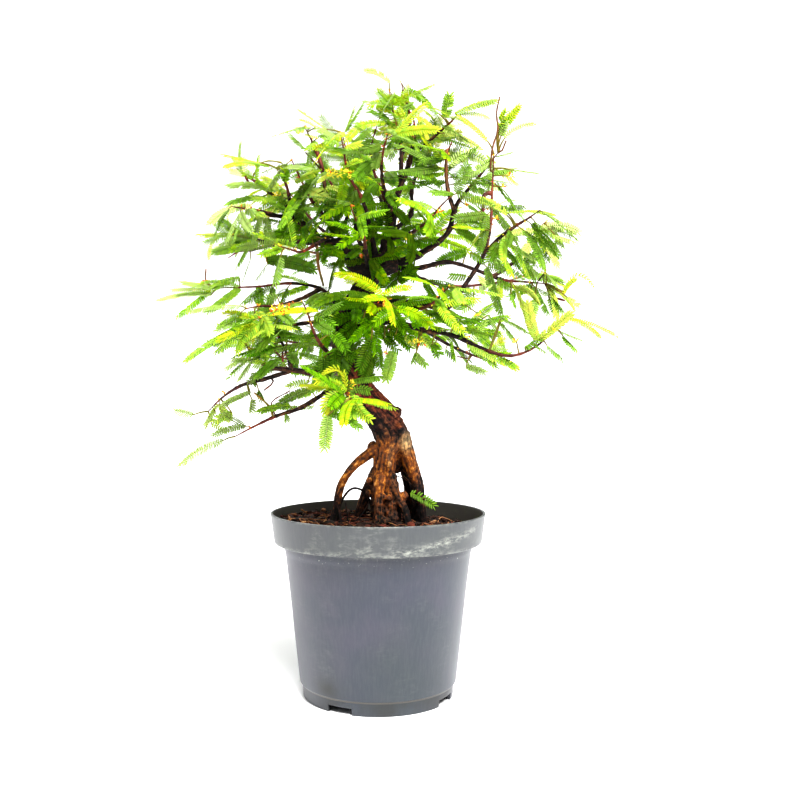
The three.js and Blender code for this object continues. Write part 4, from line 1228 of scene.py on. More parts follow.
        (-128, 361, -51, -5, 5.2, 50, 45, 14), (-94, 370, -12, -4, 10.3, 12, 20),
        (-115, 354, -35, -16, 8.5, 45, 35, 5), (-92, 353, -20, 5, 8.5, 10, 0, 5),
        (-102, 353, 29, 2, 4.7, 98, 0, 5)], flushes=[(-82, 356, 34, 5, 0.35), (-82, 362, 8, 4, 0.7)]),
    Branch("front", 3.5, 1.9, 3, 3, 1, ((-21, 0, 367), (-5, -40, 360), (3, -78, 355), (7, -100, 355),
        (9, -122, 357)), seen=[(-6, 330, -11, -27, 13, 10), (-24, 352, -20, -10, 11, 30, 0, 10),
        (-20, 345, -16, -15, 12, 15, 0, 5), (-14, 350, 6, -20, 11, 40), (-30, 340, 12, -18, 11, 22),
        (4, 371, -43, 20, 8.5, 85, 0, 12), (-5, 375, -25, 10, 8.5, 80, 10, 10),
        (5, 371, 25, 7, 6.6, 82, 0, 10), (-7, 370, -50, -7, 8.5, 55, 15, 15),
        (-4, 361, -35, 0, 12.2, 20, 0, 8), (13, 358, -15, -12, 10.3, 50), (-2, 348, -23, -20, 8.5, 45, 0, 5),
        (2, 342, -4, -25, 8.5, 40, 0, 5), (17, 359, 32, -18, 9.4, 68, 0, 12)],
        flushes=[(7, 364, 7, 8, 0.55)]),
    Branch("front_low", 2.3, 1.4, 2, 3, 1, ((-30, -4, 320), (-30, -44, 293), (-27, -74, 281), (-25, -92, 278),
        (-23, -108, 276)), seen=[(-26, 312, -8, -16, 11, 25), (0, 325, 2, -21, 10, 15),
        (-6, 318, -7, -22, 15, 6), (-31, 325, 8, -13, 10.3, 12), (-30, 284, -22, 13, 6.5, 97, 0, 45),
        (-29, 281, -28, 10, 10, 74, 0, 12), (-32, 279, -16, -18, 11, 85, 20, 30),
        (-31, 275, -11, -12, 7.6, 40, 0, 10), (-27, 276, 7, -17, 11, 80, 60, -10),
        (-22, 278, 15, -23, 11, 70, 5, -15), (-23, 283, 15, -1, 9.4, 15, 0, 10),
        (-47, 259, -3, -31, 12.2, 48, 40), (-46, 260, 28, -13, 6.6, 22, 0, 12)],
        flushes=[(-24, 287, 3, 8, 0.1)]),
    Branch("front_left", 2.3, 1.7, 3, 3, 0.6, ((-35, -8, 308), (-49, -60, 321), (-55, -98, 335),
        (-57, -118, 345), (-60, -136, 353)), seen=[(-57, 357, -46, -4, 5.4, 93, 0, 4),
        (-60, 352, 18, -9, 10, 20, 0, 5), (-44, 336, 14, -16, 11, 32, 0, 5), (-36, 325, 14, -13, 11, 12),
        (-40, 322, 0, -20, 12, 20), (-39, 318, -17, -16, 12.2, 10), (-50, 313, 0, -16, 14.1, 12)],
        flushes=[(-92, 357, 20, 7, 0.35)]),
    Branch("front_right", 2.3, 1.7, 3, 3, 0.7, ((20, -36, 361), (36, -84, 352), (46, -116, 355),
        (51, -134, 360), (56, -150, 364)), seen=[(45, 355, 13, -7, 6.6, 15)]),
    Branch("front_high", 3, 1.8, 3, 3, 0.5, ((-9, 2, 397), (-11, -50, 408), (-13, -92, 416), (-18, -116, 422),
        (-22, -134, 430)), flushes=[(-16, 409, 3, 7, 0.8)]),
    Branch("front_high_right", 2.5, 1.7, 3, 2, 0.6, ((9, 0, 424), (30, -56, 421), (44, -94, 427),
        (51, -114, 433), (58, -130, 438)), seen=[(71, 466, -20, 1, 7, 30, 10, 10),
        (51, 453, -23, 5, 7.5, 55, 30, 8), (35, 436, 19, -5, 8.5, 32, 0, 5), (44, 445, 18, 4, 7.5, 50, 0, 5)],
        flushes=[(58, 449, 4, 3, 0.8), (49, 439, 3, 3, 0.3), (26, 424, 3, 3, 0.3)]),
    Branch("front_high_left", 2.5, 1.7, 3, 2, 0.4, ((-37, -11, 429), (-56, -60, 409), (-65, -98, 398),
        (-71, -120, 397), (-78, -138, 397)), hang=(1, 0.5, 1), seen=[(-91, 407, -6, -25, 8.5, 30, 20)],
        twigs=[(1.4, 0.2, (-57, 416), (-56, 400), (-51, 380))]),
    Branch("front_top", 2.3, 1.4, 2, 2, 0.6, ((13, -4, 448), (5, -44, 464), (3, -74, 477), (5, -90, 487),
        (8, -102, 495)), seen=[(9, 456, -25, -7, 9.4, 10, 0, 10)]),
    Branch("back", 3.5, 1.9, 3, 3, 0.5, ((-2, 10, 400), (8, 62, 420), (15, 104, 439), (19, 128, 453),
        (24, 148, 469))),
    Branch("back_left", 3.3, 1.8, 3, 3, 0.6, ((-9, 10, 400), (-38, 60, 416), (-69, 98, 425), (-87, 120, 433),
        (-108, 138, 442)), hang=(-1.5, 0.5, 1)),
    Branch("back_right", 2.8, 1.7, 3, 3, 0.6, ((5, 38, 413), (43, 74, 434), (77, 104, 453), (100, 120, 467),
        (123, 134, 480)), seen=[(29, 420, 20, -4, 8.5, 15)]),
    Branch("back_top", 2.8, 1.7, 3, 2, 0.7, ((11, 2, 433), (2, 52, 474), (-4, 86, 506), (-6, 104, 526),
        (-11, 118, 545)), hang=(-2, -0.5, 1)),
    Branch("back_low", 3.3, 1.8, 3, 2, 0.5, ((-21, 6, 367), (-26, 62, 372), (-31, 106, 372), (-34, 130, 372),
        (-37, 150, 374))),
    Branch("back_low_left", 2.8, 1.7, 3, 3, 0.5, ((-32, 2, 325), (-60, 60, 328), (-91, 98, 332),
        (-112, 118, 337), (-136, 134, 342)), hang=(-2.5, 0.5, 1), seen=[(-110, 331, -2, -10, 5.6, 40)]),
    Branch("back_low_right", 2.8, 1.7, 3, 3, 0.6, ((-28, 6, 350), (8, 58, 344), (48, 94, 344), (72, 112, 345),
        (96, 126, 348)), seen=[(14, 319, -6, -26, 15, 60, 45), (103, 353, 16, -35, 6.1, 15, 10, 6)],
        flushes=[(8, 317, 3, 3, 0.5)]),
    Branch("back_lowest", 2.3, 1.4, 2, 2, 0.4, ((-30, 0, 309), (-36, 48, 302), (-44, 84, 298),
        (-52, 104, 298), (-60, 120, 298)), seen=[(-20, 299, 14, -7, 14.1, 10, 0, 10)]),
    Branch("back_middle", 2.3, 1.7, 3, 2, 0.5, ((-8, 8, 402), (-34, 34, 422), (-60, 62, 446), (-78, 90, 469),
        (-90, 106, 485), (-104, 120, 498)), seen=[(-60, 439, 33, 2, 3.3, 40, 10, 6)]),
    Branch("foot", 1.8, 1.3, 2, 1, 0.6, ((36, 9, 172), (37, -2, 177), (40, -9, 181), (44, -13, 182)),
        hang=(-1.5, 0.3, 1), tip_seen=True, sparse=True, seen=[(30, 186, 22, -12, 9.5, 33, 0, 5)]),
]

# Where the wood is worn smooth and golden, bleached, rusty, darker with painted shade, or gnarled: rows of a
# Patch by mark.
PATCHES = {
    "warmth": [
        ((8, -8, 220), (16, 14, 22)), ((28, -6, 205), (12, 14, 26)), ((-26, -4, 205), (22, 12, 34), 0.8),
        ((4, -16, 176), (18, 12, 20), 0.9)],
    "pale": [((26, -6, 233), (7, 14, 12), 0.75), ((12, -14, 220), (5, 8, 14), 0.5)],
    "red": [
        ((-4, -10, 271), (15, 18, 10)), ((14, -8, 260), (11, 16, 10), 0.35),
        ((-14, -10, 290), (16, 16, 16), 0.8), ((20, -12, 246), (7, 10, 8), 0.3)],
    # Painted shade, over bark that is darker there too: the trunk's upper left, the hollow by the right root,
    # the roots low in front and by the soil, and the trunk's top under the crown.
    "dark": [
        ((-9, -10, 250), (10, 14, 16), 0.75), ((20, -12, 243), (4, 8, 4)), ((18, -6, 200), (6, 14, 14)),
        ((12, -4, 156), (40, 34, 11), 0.9), ((2, -14, 174), (26, 14, 13), 0.6),
        ((-10, 0, 392), (44, 34, 44), 0.6), ((-44, -4, 160), (14, 14, 14), 0.6),
        ((36, -4, 182), (9, 14, 20), 0.6)],
    "gnarled": [((2, -12, 170), (28, 18, 17))],
}


@dataclass
class Wood:
    """Trunk, surface roots and the woody part of every branch, grown as one piece."""

    fuse_size: float = 1.0
    branch_step: float = 2.4
    trunk_sides: int = 20
    smoothing: int = 3
    furrow: float = 1.5
    furrow_size: float = 3.2
    lump: float = 1.2
    lump_size: float = 15.0
    crumb: float = 0.6
    crumb_size: float = 2.4
    gnarl: float = 1.8
    gnarl_size: Point = (7.0, 7.0, 4.0)
    full_relief_radius: float = 9.0
    unevenness: float = 0.14
    knot: float = 0.2
    knot_spacing: float = 13.0
    knot_reach: float = 1.8
    branch_rough: float = 0.16
    batch: int = 4000

    def limbs(self) -> list[tuple[Route, Array]]:
        """The thick limbs that are fused: the trunk, its strands and the surface roots."""
        rows = [*TRUNK_STRANDS, *ROOTS]
        return [(Route([row[:3] for row in limb]), np.array([row[3] for row in limb])) for limb in rows]

    def fused(self) -> tuple[Array, Array]:
        """Fuse the thick limbs into one skin.

        Returns:
            Its points in millimetres and its faces.
        """
        draft = Draft()
        for route, radii in self.limbs():
            count = max(int(route.length / 2), 4)
            spread = np.interp(np.linspace(0, 1, count), np.linspace(0, 1, len(radii)), radii)
            tube(draft, route, spread, self.trunk_sides)
        for x, y, z, radius in KNOBS:
            tube(draft, Route([(x, y, z - radius), (x, y, z), (x, y, z + radius)]),
                 radius * np.array([0.35, 0.8, 1, 0.8, 0.35]), 12)
        rough = draft.build("rough")
        fuse = rough.modifiers.new("fuse", "REMESH")
        fuse.mode = "VOXEL"
        fuse.voxel_size = self.fuse_size * MM
        soft = rough.modifiers.new("soften", "SMOOTH")
        soft.iterations = self.smoothing
        soft.factor = 0.6
        mesh = rough.evaluated_get(bpy.context.evaluated_depsgraph_get()).to_mesh()
        points = np.empty(len(mesh.vertices) * 3)
        mesh.vertices.foreach_get("co", points)
        mesh.calc_loop_triangles()
        faces = np.empty(len(mesh.loop_triangles) * 3, dtype=np.int32)
        mesh.loop_triangles.foreach_get("vertices", faces)
        bpy.data.objects.remove(rough)
        return points.reshape(-1, 3) / MM, faces.reshape(-1, 3)

    def grain(self, points: Array) -> tuple[Array, Array]:
        """Find where each point lies on the limb that it belongs to.

        Args:
            points: Points on the fused skin.

        Returns:
            Places in the frame of the limb, stretched along it, and the limb's radius there.
        """
        samples = []
        for number, (route, given) in enumerate(self.limbs()):
            distances = np.arange(0, route.length, 3)
            tangents = route.tangent(distances)
            radii = np.interp(distances / route.length, np.linspace(0, 1, len(given)), given)
            runs = distances * GRAIN_STRETCH + 40 * number
            samples.append((route.at(distances), tangents, transported(tangents), runs, radii))
        middle, tangent, normal, run, radius = (np.concatenate(rows) for rows in zip(*samples))
        nearest = np.empty(len(points), dtype=int)
        for start in range(0, len(points), self.batch):
            some = slice(start, start + self.batch)
            nearest[some] = np.argmin(np.linalg.norm(points[some, None] - middle, axis=2) - radius, axis=1)
        offset = points - middle[nearest]
        side = normal[nearest]
        across = np.cross(tangent[nearest], side)
        along = np.sum(offset * tangent[nearest], axis=1) * GRAIN_STRETCH + run[nearest]
        local = np.stack([np.sum(offset * side, axis=1), np.sum(offset * across, axis=1), along], axis=1)
        return local, radius[nearest]

    @staticmethod
    def normals(points: Array, faces: Array) -> Array:
        """Work out the outward directions of a skin.

        Args:
            points: Its points.
            faces: Its triangles.

        Returns:
            A direction for each point.
        """
        a, b, c = (points[faces[:, corner]] for corner in range(3))
        flat = np.cross(b - a, c - a)
        total = np.zeros_like(points)
        for corner in range(3):
            for axis in range(3):
                total[:, axis] += np.bincount(faces[:, corner], flat[:, axis], len(points))
        return unit(total)

    def branch(self, draft: Draft, row: Branch, index: int) -> None:
        """Add the woody part of a branch, knobbly and a little uneven.

        Args:
            draft: The wood's mesh.
            row: The branch.
            index: Its number.
        """
        route = row.route().stretch(0, row.shoot_knot())
        count = max(int(route.length / self.branch_step), 5)
        distances = np.linspace(0, route.length, count)
        from_knot = np.mod(distances + 5 * index, self.knot_spacing) - self.knot_spacing / 2
        knots = np.exp(-(from_knot / self.knot_reach) ** 2)
        uneven = lattice_noise(np.stack([distances / 5, distances * 0, distances * 0 + index], axis=1), 5)
        radii = np.linspace(row.start_radius, row.shoot_radius, count)
        radii = radii * (0.92 + self.unevenness * uneven + self.knot * knots)
        start = draft.count
        tube(draft, route, radii, 10 if row.start_radius > 4 else 8)
        points = draft.points[-1]
        rough = layered_noise(draft.marks["grain"][-1] / MM / 1.6 + start, 2, 11)
        sides = len(points) // count
        away = unit(points - route.at(np.repeat(distances, sides)))
        draft.points[-1] = points + away * (rough * self.branch_rough * np.repeat(radii, sides))[:, None]
        self._mark(draft, draft.points[-1], rough * 0.5 + 0.5)

    @staticmethod
    def covered(points: Array, mark: str) -> Array:
        """How strongly the patches of a mark cover each point."""
        return sum(Patch(*row).share(points) for row in PATCHES[mark])

    def _mark(self, draft: Draft, points: Array, height: Array) -> None:
        """Add the marks that the bark's colours follow.

        Args:
            draft: The wood's mesh.
            points: The points to mark.
            height: How far each stands out of the bark's cracks, about 0 to 1, which paints shade into the
                cracks.
        """
        draft.marks.setdefault("height", []).append(np.clip(height, 0, 1))
        # The dark mark is painted shade in hollows and low places, over bark that is darker there too.
        for mark in ("warmth", "pale", "red", "dark"):
            draft.marks.setdefault(mark, []).append(np.clip(self.covered(points, mark), 0, 1))

    def build(self) -> Object:
        """Grow the wood.

        Returns:
            The finished object.
        """
        points, faces = self.fused()
        grain, radius = self.grain(points)
        furrows = 1 - np.abs(layered_noise(grain / self.furrow_size, 3, 2)) * 2.6
        lumps = layered_noise(points / self.lump_size, 2, 4)
        crumbs = layered_noise(points / self.crumb_size, 2, 6)
        depth = np.clip(radius / self.full_relief_radius, 0.25, 1)
        height = furrows * self.furrow * 0.6 + lumps * self.lump + crumbs * self.crumb
        gnarls = crumbs * self.gnarl + lattice_noise(points / self.gnarl_size, 8) * self.gnarl
        height = height + self.covered(points, "gnarled") * gnarls
        points = points + self.normals(points, faces) * (height * depth)[:, None]
        draft = Draft()
        draft.add(points, [faces], grain=grain * MM)
        # These heights also paint shade into the bark's cracks and light onto its ridges.
        self._mark(draft, points, furrows * 0.35 + crumbs * 0.4 + 0.45)
        for index, row in enumerate(BRANCHES):
            self.branch(draft, row, index)
        for radius, route in FINE_ROOTS:
            tube(draft, Route(route), radius * np.linspace(1.1, 0.8, 30), 7)
            self._mark(draft, draft.points[-1], np.full(len(draft.points[-1]), 0.4))
        wood = draft.build("wood_and_roots", [Bark().material()])
        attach(wood, "root")
        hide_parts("wood")
        return wood


@dataclass(frozen=True)
class Seen:
    """A blade as the photograph shows it, in millimetres on the upright plane through the trunk.

    The camera sees its foot there, and its tip so far to the right and above. Its youth, how pale the light
    makes it, and how far it bows upwards as a share of its length are in hundredths.
    """

    foot_x: float
    foot_z: float
    right: float
    up: float
    width: float
    youth: float
    pale: float = 0
    bow: float = 0

    EYE = (0.0, -900.0, 286.4)

    @classmethod
    def flattened(cls, points: Array) -> Array:
        """Where points of the tree are seen in the plane through the trunk, as x and z."""
        near = -cls.EYE[1] / (points[:, 1] - cls.EYE[1])
        return np.stack([points[:, 0] * near, cls.EYE[2] + (points[:, 2] - cls.EYE[2]) * near], axis=1)

    @classmethod
    def placed(cls, x: float, z: float, depth: float) -> Array:
        """The point at a depth that is seen at x and z of the plane through the trunk."""
        share = (depth - cls.EYE[1]) / -cls.EYE[1]
        return np.array([x * share, depth, cls.EYE[2] + (z - cls.EYE[2]) * share])


@dataclass(frozen=True)
class LeafPlace:
    """Where a leaf sits, where it points and how it is grown."""

    root: Array
    ahead: Array
    normal: Array
    size: float
    youth: float
    pale: float


@dataclass(frozen=True)
class Blade:
    """One feathered blade: where it starts and ends, which way it faces and how it is grown."""

    foot: Array
    direction: Array
    normal: Array
    length: float
    width: float
    youth: float
    pale: float = 0.0
    bow: float = 0.0
    droop: float = 0.0
    raised: float = 0.0
    pitch: float = 1.85


@dataclass
class Leaf:
    """The leaves of one spray, each one pair of feathered blades in a V on a short stalk."""

    draft: Draft
    rng: np.random.Generator
    blade_length: float = 35.0
    half_width: float = 5.1
    spread: float = 0.55
    droop: float = 0.15
    stalk_length: float = 7.0
    stalk_radius: float = 0.5
    rib_radius: float = 0.32
    leaflet_width: float = 1.85
    leaflet_droop: float = 0.12
    leaflet_bend: float = 0.06
    thickness: float = 1.6
    fewest_pairs: int = 5
    lost: float = 0.015
    fold_from: float = 0.78
    fold_range: float = 0.22

    LEAN = ((0, 0.6, 0.93, 1), (1.3, 1.12, 0.85, 0.3))
    REACH = ((0, 0.1, 0.3, 0.65, 0.9, 1), (0.6, 0.84, 1, 1, 0.78, 0.5))
    NARROWING = ((0, 0.8, 1), (1, 1, 0.75))
    EDGE_POINTS = 8
    OUTLINE = np.array([
        (-0.05, 0, 0), (0.02, 0.42, 0), (0.5, 0.5, 0), (0.86, 0.36, 0), (1, 0.04, 0),
        (0.88, -0.3, 0), (0.5, -0.46, 0), (0.02, -0.4, 0),
        (0.3, 0.02, 0.1), (0.72, 0.02, 0.09), (0.3, 0.02, -0.07), (0.72, 0.02, -0.07),
    ])
    TOP = np.array([(0, 8, 1), (1, 8, 2), (2, 8, 9), (2, 9, 3), (3, 9, 4), (4, 9, 5), (5, 9, 6), (6, 9, 8),
                    (6, 8, 7), (7, 8, 0)])
    FACES = np.vstack([TOP, np.where(TOP > 7, TOP + 2, TOP)[:, ::-1]])

    def add(self, place: LeafPlace) -> None:
        """Add a leaf to the spray.

        Args:
            place: Where it sits and how it is grown.
        """
        rng = self.rng
        side = np.cross(place.normal, place.ahead)
        foot = place.root + place.ahead * self.stalk_length * place.size
        stalk = Route([place.root, (place.root + foot) / 2 + place.normal * 0.4, foot])
        radii = self.stalk_radius * np.array([1.5, 1, 0.9, 1, 1.3])
        tube(self.draft, stalk, radii, 5, Spray.TWIG, **Spray.PLAIN, youth=0.5)
        for hand in (1, -1):
            spread = self.spread * rng.uniform(0.75, 1.25)
            direction = place.ahead * math.cos(spread) + side * hand * math.sin(spread)
            length = self.blade_length * place.size * rng.uniform(0.9, 1.1)
            droop = self.droop * rng.uniform(0.3, 1.7)
            bow = rng.uniform(-0.025, 0.065) * hand
            width, raised = 2 * self.half_width * place.size**0.5, rng.uniform(-0.45, 0.35)
            self.blade(Blade(foot, direction, place.normal, length, width, place.youth, place.pale, bow,
                             droop, raised))

    def blade(self, blade: Blade) -> None:
        """Add one feathered blade: its rib and its pairs of leaflets.

        Args:
            blade: Its place and growth.
        """
        across = np.cross(blade.normal, blade.direction)
        t = np.linspace(0, 1, 7)[:, None]
        track = blade.foot + blade.direction * blade.length * t
        track = track - blade.normal * blade.droop * blade.length * t**2
        spine = Route(track + across * 4 * blade.bow * blade.length * t * (1 - t))
        tube(self.draft, spine, self.rib_radius * np.linspace(1.2, 0.4, 8), 4, Spray.LEAF, vein=1.0,
             youth=blade.youth + 0.15, pale=blade.pale)
        pairs = max(int(blade.length / blade.pitch), self.fewest_pairs)
        where = np.repeat((np.arange(pairs) + 0.55) / pairs, 2)
        hand = np.tile([1.0, -1.0], pairs)
        kept = self.rng.uniform(0, 1, len(where)) > self.lost
        self.leaflets(blade, spine, across, where[kept], hand[kept])

    def leaflets(self, blade: Blade, spine: Route, across: Array, where: Array, hand: Array) -> None:
        """Add the leaflets of a blade, each tilted and leaning towards the blade's tip.

        Args:
            blade: The blade's place and growth.
            spine: Its rib.
            across: The direction from one edge of the blade to the other.
            where: The place of each leaflet, from 0 at the blade's foot to 1 at its tip.
            hand: Its side, 1 or -1.
        """
        rng, count, side = self.rng, len(where), hand[:, None]
        folded = np.clip((blade.youth - self.fold_from) / self.fold_range, 0, 1)
        tangent = spine.tangent(where * spine.length)
        flat = unit(across - tangent * (tangent @ across)[:, None]) * side
        up = np.cross(tangent, flat) * side
        lean = np.interp(where, *self.LEAN) - 0.55 * folded
        lean = lean + rng.normal(0, 0.035, count)
        raised = blade.raised + folded * 0.5 + rng.normal(0, 0.05, count)
        plane = unit(flat + up * (raised - self.leaflet_droop)[:, None])
        axis = unit(tangent * np.cos(lean)[:, None] + plane * np.sin(lean)[:, None])
        tilt = rng.uniform(0.1, 0.5) + rng.normal(0, 0.1, count)
        wide = unit(tangent * np.sin(lean)[:, None] - plane * np.cos(lean)[:, None])
        wide = unit(wide + np.cross(axis, wide) * side * tilt[:, None])
        lift = np.cross(axis, wide) * side
        long = blade.width / 2 * np.interp(where, *self.REACH) / np.maximum(np.sin(lean), 0.55)
        broad = min(max(self.leaflet_width, blade.width / 5), blade.width / 3.4)
        broad = broad * np.interp(where, *self.NARROWING)
        base = spine.at(where * spine.length) + flat * 0.2
        shape = self.OUTLINE
        body = (base[:, None] + axis[:, None] * (long[:, None] * shape[:, 0])[..., None]
                + wide[:, None] * (broad[:, None] * shape[:, 1])[..., None]
                + lift[:, None] * (shape[:, 2] * self.thickness)[None, :, None]
                - up[:, None] * (self.leaflet_bend * long[:, None] * shape[:, 0] ** 2)[..., None])
        faces = np.repeat(self.FACES[None], count, axis=0)
        faces[hand < 0] = faces[hand < 0][:, :, ::-1]
        faces = (faces + np.arange(count)[:, None, None] * len(shape)).reshape(-1, 3)
        tone = np.clip(blade.youth + rng.normal(0, 0.1, count) + 0.12 * (where - 0.5), 0, 1)
        vein = np.tile((np.arange(len(shape)) >= self.EDGE_POINTS).astype(float), count)
        self.draft.add(body.reshape(-1, 3), [faces], Spray.LEAF, youth=np.repeat(tone, len(shape)), vein=vein,
                       pale=blade.pale, grain=np.zeros((count * len(shape), 3)))


@dataclass
class Spray:
    """One leafy shoot: its green twig, its leaves and the buds at their feet."""

    LEAF = 0
    TWIG = 1
    BUD = 2
    PLAIN = {"vein": 0.0, "pale": 0.0}

    row: Branch
    index: int
    stations: tuple[float, ...] = (1, 0.6, 0.2)
    added: tuple[float, ...] = (-0.3, 0.0, -0.55, 0.4, 0.82, 0.92)
    front_added: int = 5
    near_added: tuple[float, ...] = (-0.85, -1.2)
    near_depth: float = -90.0
    back_depth: float = 70.0
    turn: tuple[float, float] = (1.15, 0.9)
    swing: float = 1.2
    tip_swing: float = 0.45
    outward_pull: float = 0.3
    droop_share: float = 0.45
    droop_spread: float = 0.5
    face_outward: tuple[float, float] = (0.5, 1.2)
    roll: float = 2.6
    size: tuple[float, float] = (0.72, 0.46)
    crown_middle_x: float = 5.0
    crown_middle: Point = (-5.0, 0.0, 392.0)
    inner_reach: float = 60.0
    outer_reach: float = 135.0
    low_leaf_height: float = 200.0
    low_leaf_size: float = 0.62
    folded_youth: float = 0.74
    mature_width: float = 11.0
    flush_depth: float = 14.0
    young_from: float = 0.55
    node_spacing: float = 9.0
    node_reach: float = 1.1
    tip_radius: float = 0.45
    seen_lean: tuple[float, float] = (-0.45, 0.3)
    # The painted highlight that a blade gets at the crown's skin.
    seen_pale: float = 0.22

    def __post_init__(self) -> None:
        """Start the mesh and the random draws, and measure the branch."""
        self.draft, self.rng = Draft(), np.random.default_rng(SEED + self.index)
        self.leaf = Leaf(self.draft, self.rng)
        self.whole = self.row.route()

    def place(self, number: int, root: Array, tangent: Array, at_tip: bool) -> LeafPlace:
        """Work out a leaf's place by the part source's rule.

        Args:
            number: The leaf's number on its shoot.
            root: Where it leaves the twig.
            tangent: The twig's direction there.
            at_tip: Whether it ends the twig.

        Returns:
            The leaf's place.
        """
        up = np.array([0, 0, 1.0])
        outward = unit(np.array([root[0] - self.crown_middle_x, root[1], 0]))
        sideways = unit(np.cross(tangent, up) + outward * 0.05)
        over = np.cross(sideways, tangent)
        hand = 1 if (number + self.index) % 2 == 0 else -1
        twist, lift, share = self.row.hang
        turn = hand * (self.turn[0] + self.turn[1] * (draw(self.index, number, 1) - 0.5)) + twist
        swing = self.tip_swing if at_tip else self.swing
        ahead = unit(tangent + sideways * swing * math.sin(turn) + over * swing * math.cos(turn)
                     + outward * self.outward_pull)
        ahead[2] -= ahead[2] * self.droop_share
        ahead[2] += lift - self.droop_spread * draw(self.index, number, 2)
        ahead = unit(ahead)
        normal = up + outward * (self.face_outward[0] + self.face_outward[1] * draw(self.index, number, 3))
        normal = normal + sideways * self.roll * (draw(self.index, number, 4) - 0.5)
        normal = unit(normal - ahead * normal.dot(ahead))
        grown = self.size[0] + self.size[1] * draw(self.index, number, 5)
        size = (self.low_leaf_size if root[2] < self.low_leaf_height else grown) * share
        freshness = self.row.youth * (1 if at_tip else 0.75)
        outer = self.outer(root)
        # Leaves at the crown's skin are younger and lighter, those deep inside older and darker, which is
        # also painted shade.
        youth = 0.42 * freshness + 0.9 * (draw(self.index, number, 6) - 0.46) + 0.32 * outer
        # Painted highlight on leaves at the crown's skin.
        pale = 0.72 * outer * draw(self.index, number, 7)
        return LeafPlace(root, ahead, normal, size, float(np.clip(youth, 0.02, 1)), pale)

    def outer(self, place: Array) -> float:
        """How far out in the crown a place is, from 0 in its middle to 1 at its skin."""
        apart = np.linalg.norm((place - self.crown_middle) * [1, 0.5, 1])
        return float(np.clip((apart - self.inner_reach) / (self.outer_reach - self.inner_reach), 0, 1))

    def buds(self, root: Array) -> None:
        """Add a few pointed buds where a leaf leaves the twig.

        Args:
            root: The place on the twig.
        """
        rng = self.rng
        for _ in range(int(rng.integers(1, 4))):
            aim = unit(rng.normal(0, 1, 3) + [0, 0, 0.6])
            length, radius = rng.uniform(1.6, 4.2), rng.uniform(0.4, 0.8)
            route = Route([root, root + aim * length / 2, root + aim * length])
            tube(self.draft, route, radius * np.array([0.5, 1, 0.75, 0.15]), 5, self.BUD, youth=0.8,
                 vein=rng.uniform(0, 1), pale=0.0)

    def seen(self, leaf: Seen) -> None:
        """Add a blade that the photograph shows, on a stalk from the nearest point of its branch.

        Args:
            leaf: The blade as it is seen.
        """
        (root, apart), rng = self.nearest(leaf.foot_x, leaf.foot_z), self.rng
        foot = Seen.placed(leaf.foot_x, leaf.foot_z, root[1] - rng.uniform(0, 5) - 0.15 * apart)
        depth = foot[1] + math.hypot(leaf.right, leaf.up) * rng.uniform(*self.seen_lean)
        tip = Seen.placed(leaf.foot_x + leaf.right, leaf.foot_z + leaf.up, depth)
        direction = unit(tip - foot)
        toward_eye = unit(np.array([0, -1.0, 0]) - direction * -direction[1])
        upward = np.cross(direction, toward_eye)
        upward = upward if upward[2] > 0 else -upward
        youth, outer = leaf.youth / 100, self.outer(foot)
        young = youth > self.folded_youth
        width = leaf.width if young else max(leaf.width, self.mature_width)
        roll = 0.3 if young else math.acos(min(leaf.width / width, 1))
        normal = toward_eye * math.cos(roll) + upward * math.sin(roll)
        bow = leaf.bow / 100 * (1 if np.cross(normal, direction).dot(upward) > 0 else -1)
        stalk = Route([root, (root + foot) / 2 + upward * 0.06 * apart, foot + direction * 0.5])
        thick = 0.42 + 0.02 * min(apart, 20)
        radii = thick * np.linspace(1.3, 0.8, max(int(stalk.length / 2), 4))
        tube(self.draft, stalk, radii, 5, self.TWIG, **self.PLAIN, youth=0.5)
        # Painted highlight on the blade, stronger at the crown's skin.
        pale = min(leaf.pale / 100 + self.seen_pale * outer, 1)
        raised, pitch = rng.uniform(-0.35, 0.35), rng.uniform(1.7, 1.95)
        # Blades at the crown's skin are a little lighter: painted shade deeper in.
        self.leaf.blade(Blade(foot, direction, normal, float(np.linalg.norm(tip - foot)), width,
                              youth + 0.04 * outer, pale, bow, 0, raised, pitch))

    def nearest(self, x: float, z: float) -> tuple[Array, float]:
        """Find the point of a branch that is seen nearest to a place in the plane through the trunk.

        Args:
            x: The place from left to right.
            z: Its height.

        Returns:
            The point, and how far off it is seen.
        """
        sight = self.whole.points[3:]
        apart = np.linalg.norm(Seen.flattened(sight) - [x, z], axis=1)
        return sight[apart.argmin()], apart.min()

    def side_twig(self, radius: float, youth: float, *places: tuple[float, float]) -> None:
        """Add a bare side twig, or the stub of one.

        Args:
            radius: The twig's radius.
            youth: How green it is.
            *places: Its points as x and z in the plane through the trunk.
        """
        root, _ = self.nearest(*places[0])
        route = Route([root, *(Seen.placed(x, z, root[1] - 2 * step) for step, (x, z) in enumerate(places))])
        steps = max(int(route.length / 3), 4)
        radii = radius * (1 + 0.15 * np.cos(np.arange(steps) * 2.1)) * np.linspace(1.1, 0.7, steps)
        tube(self.draft, route, radii, 6, self.TWIG, **self.PLAIN, youth=youth)

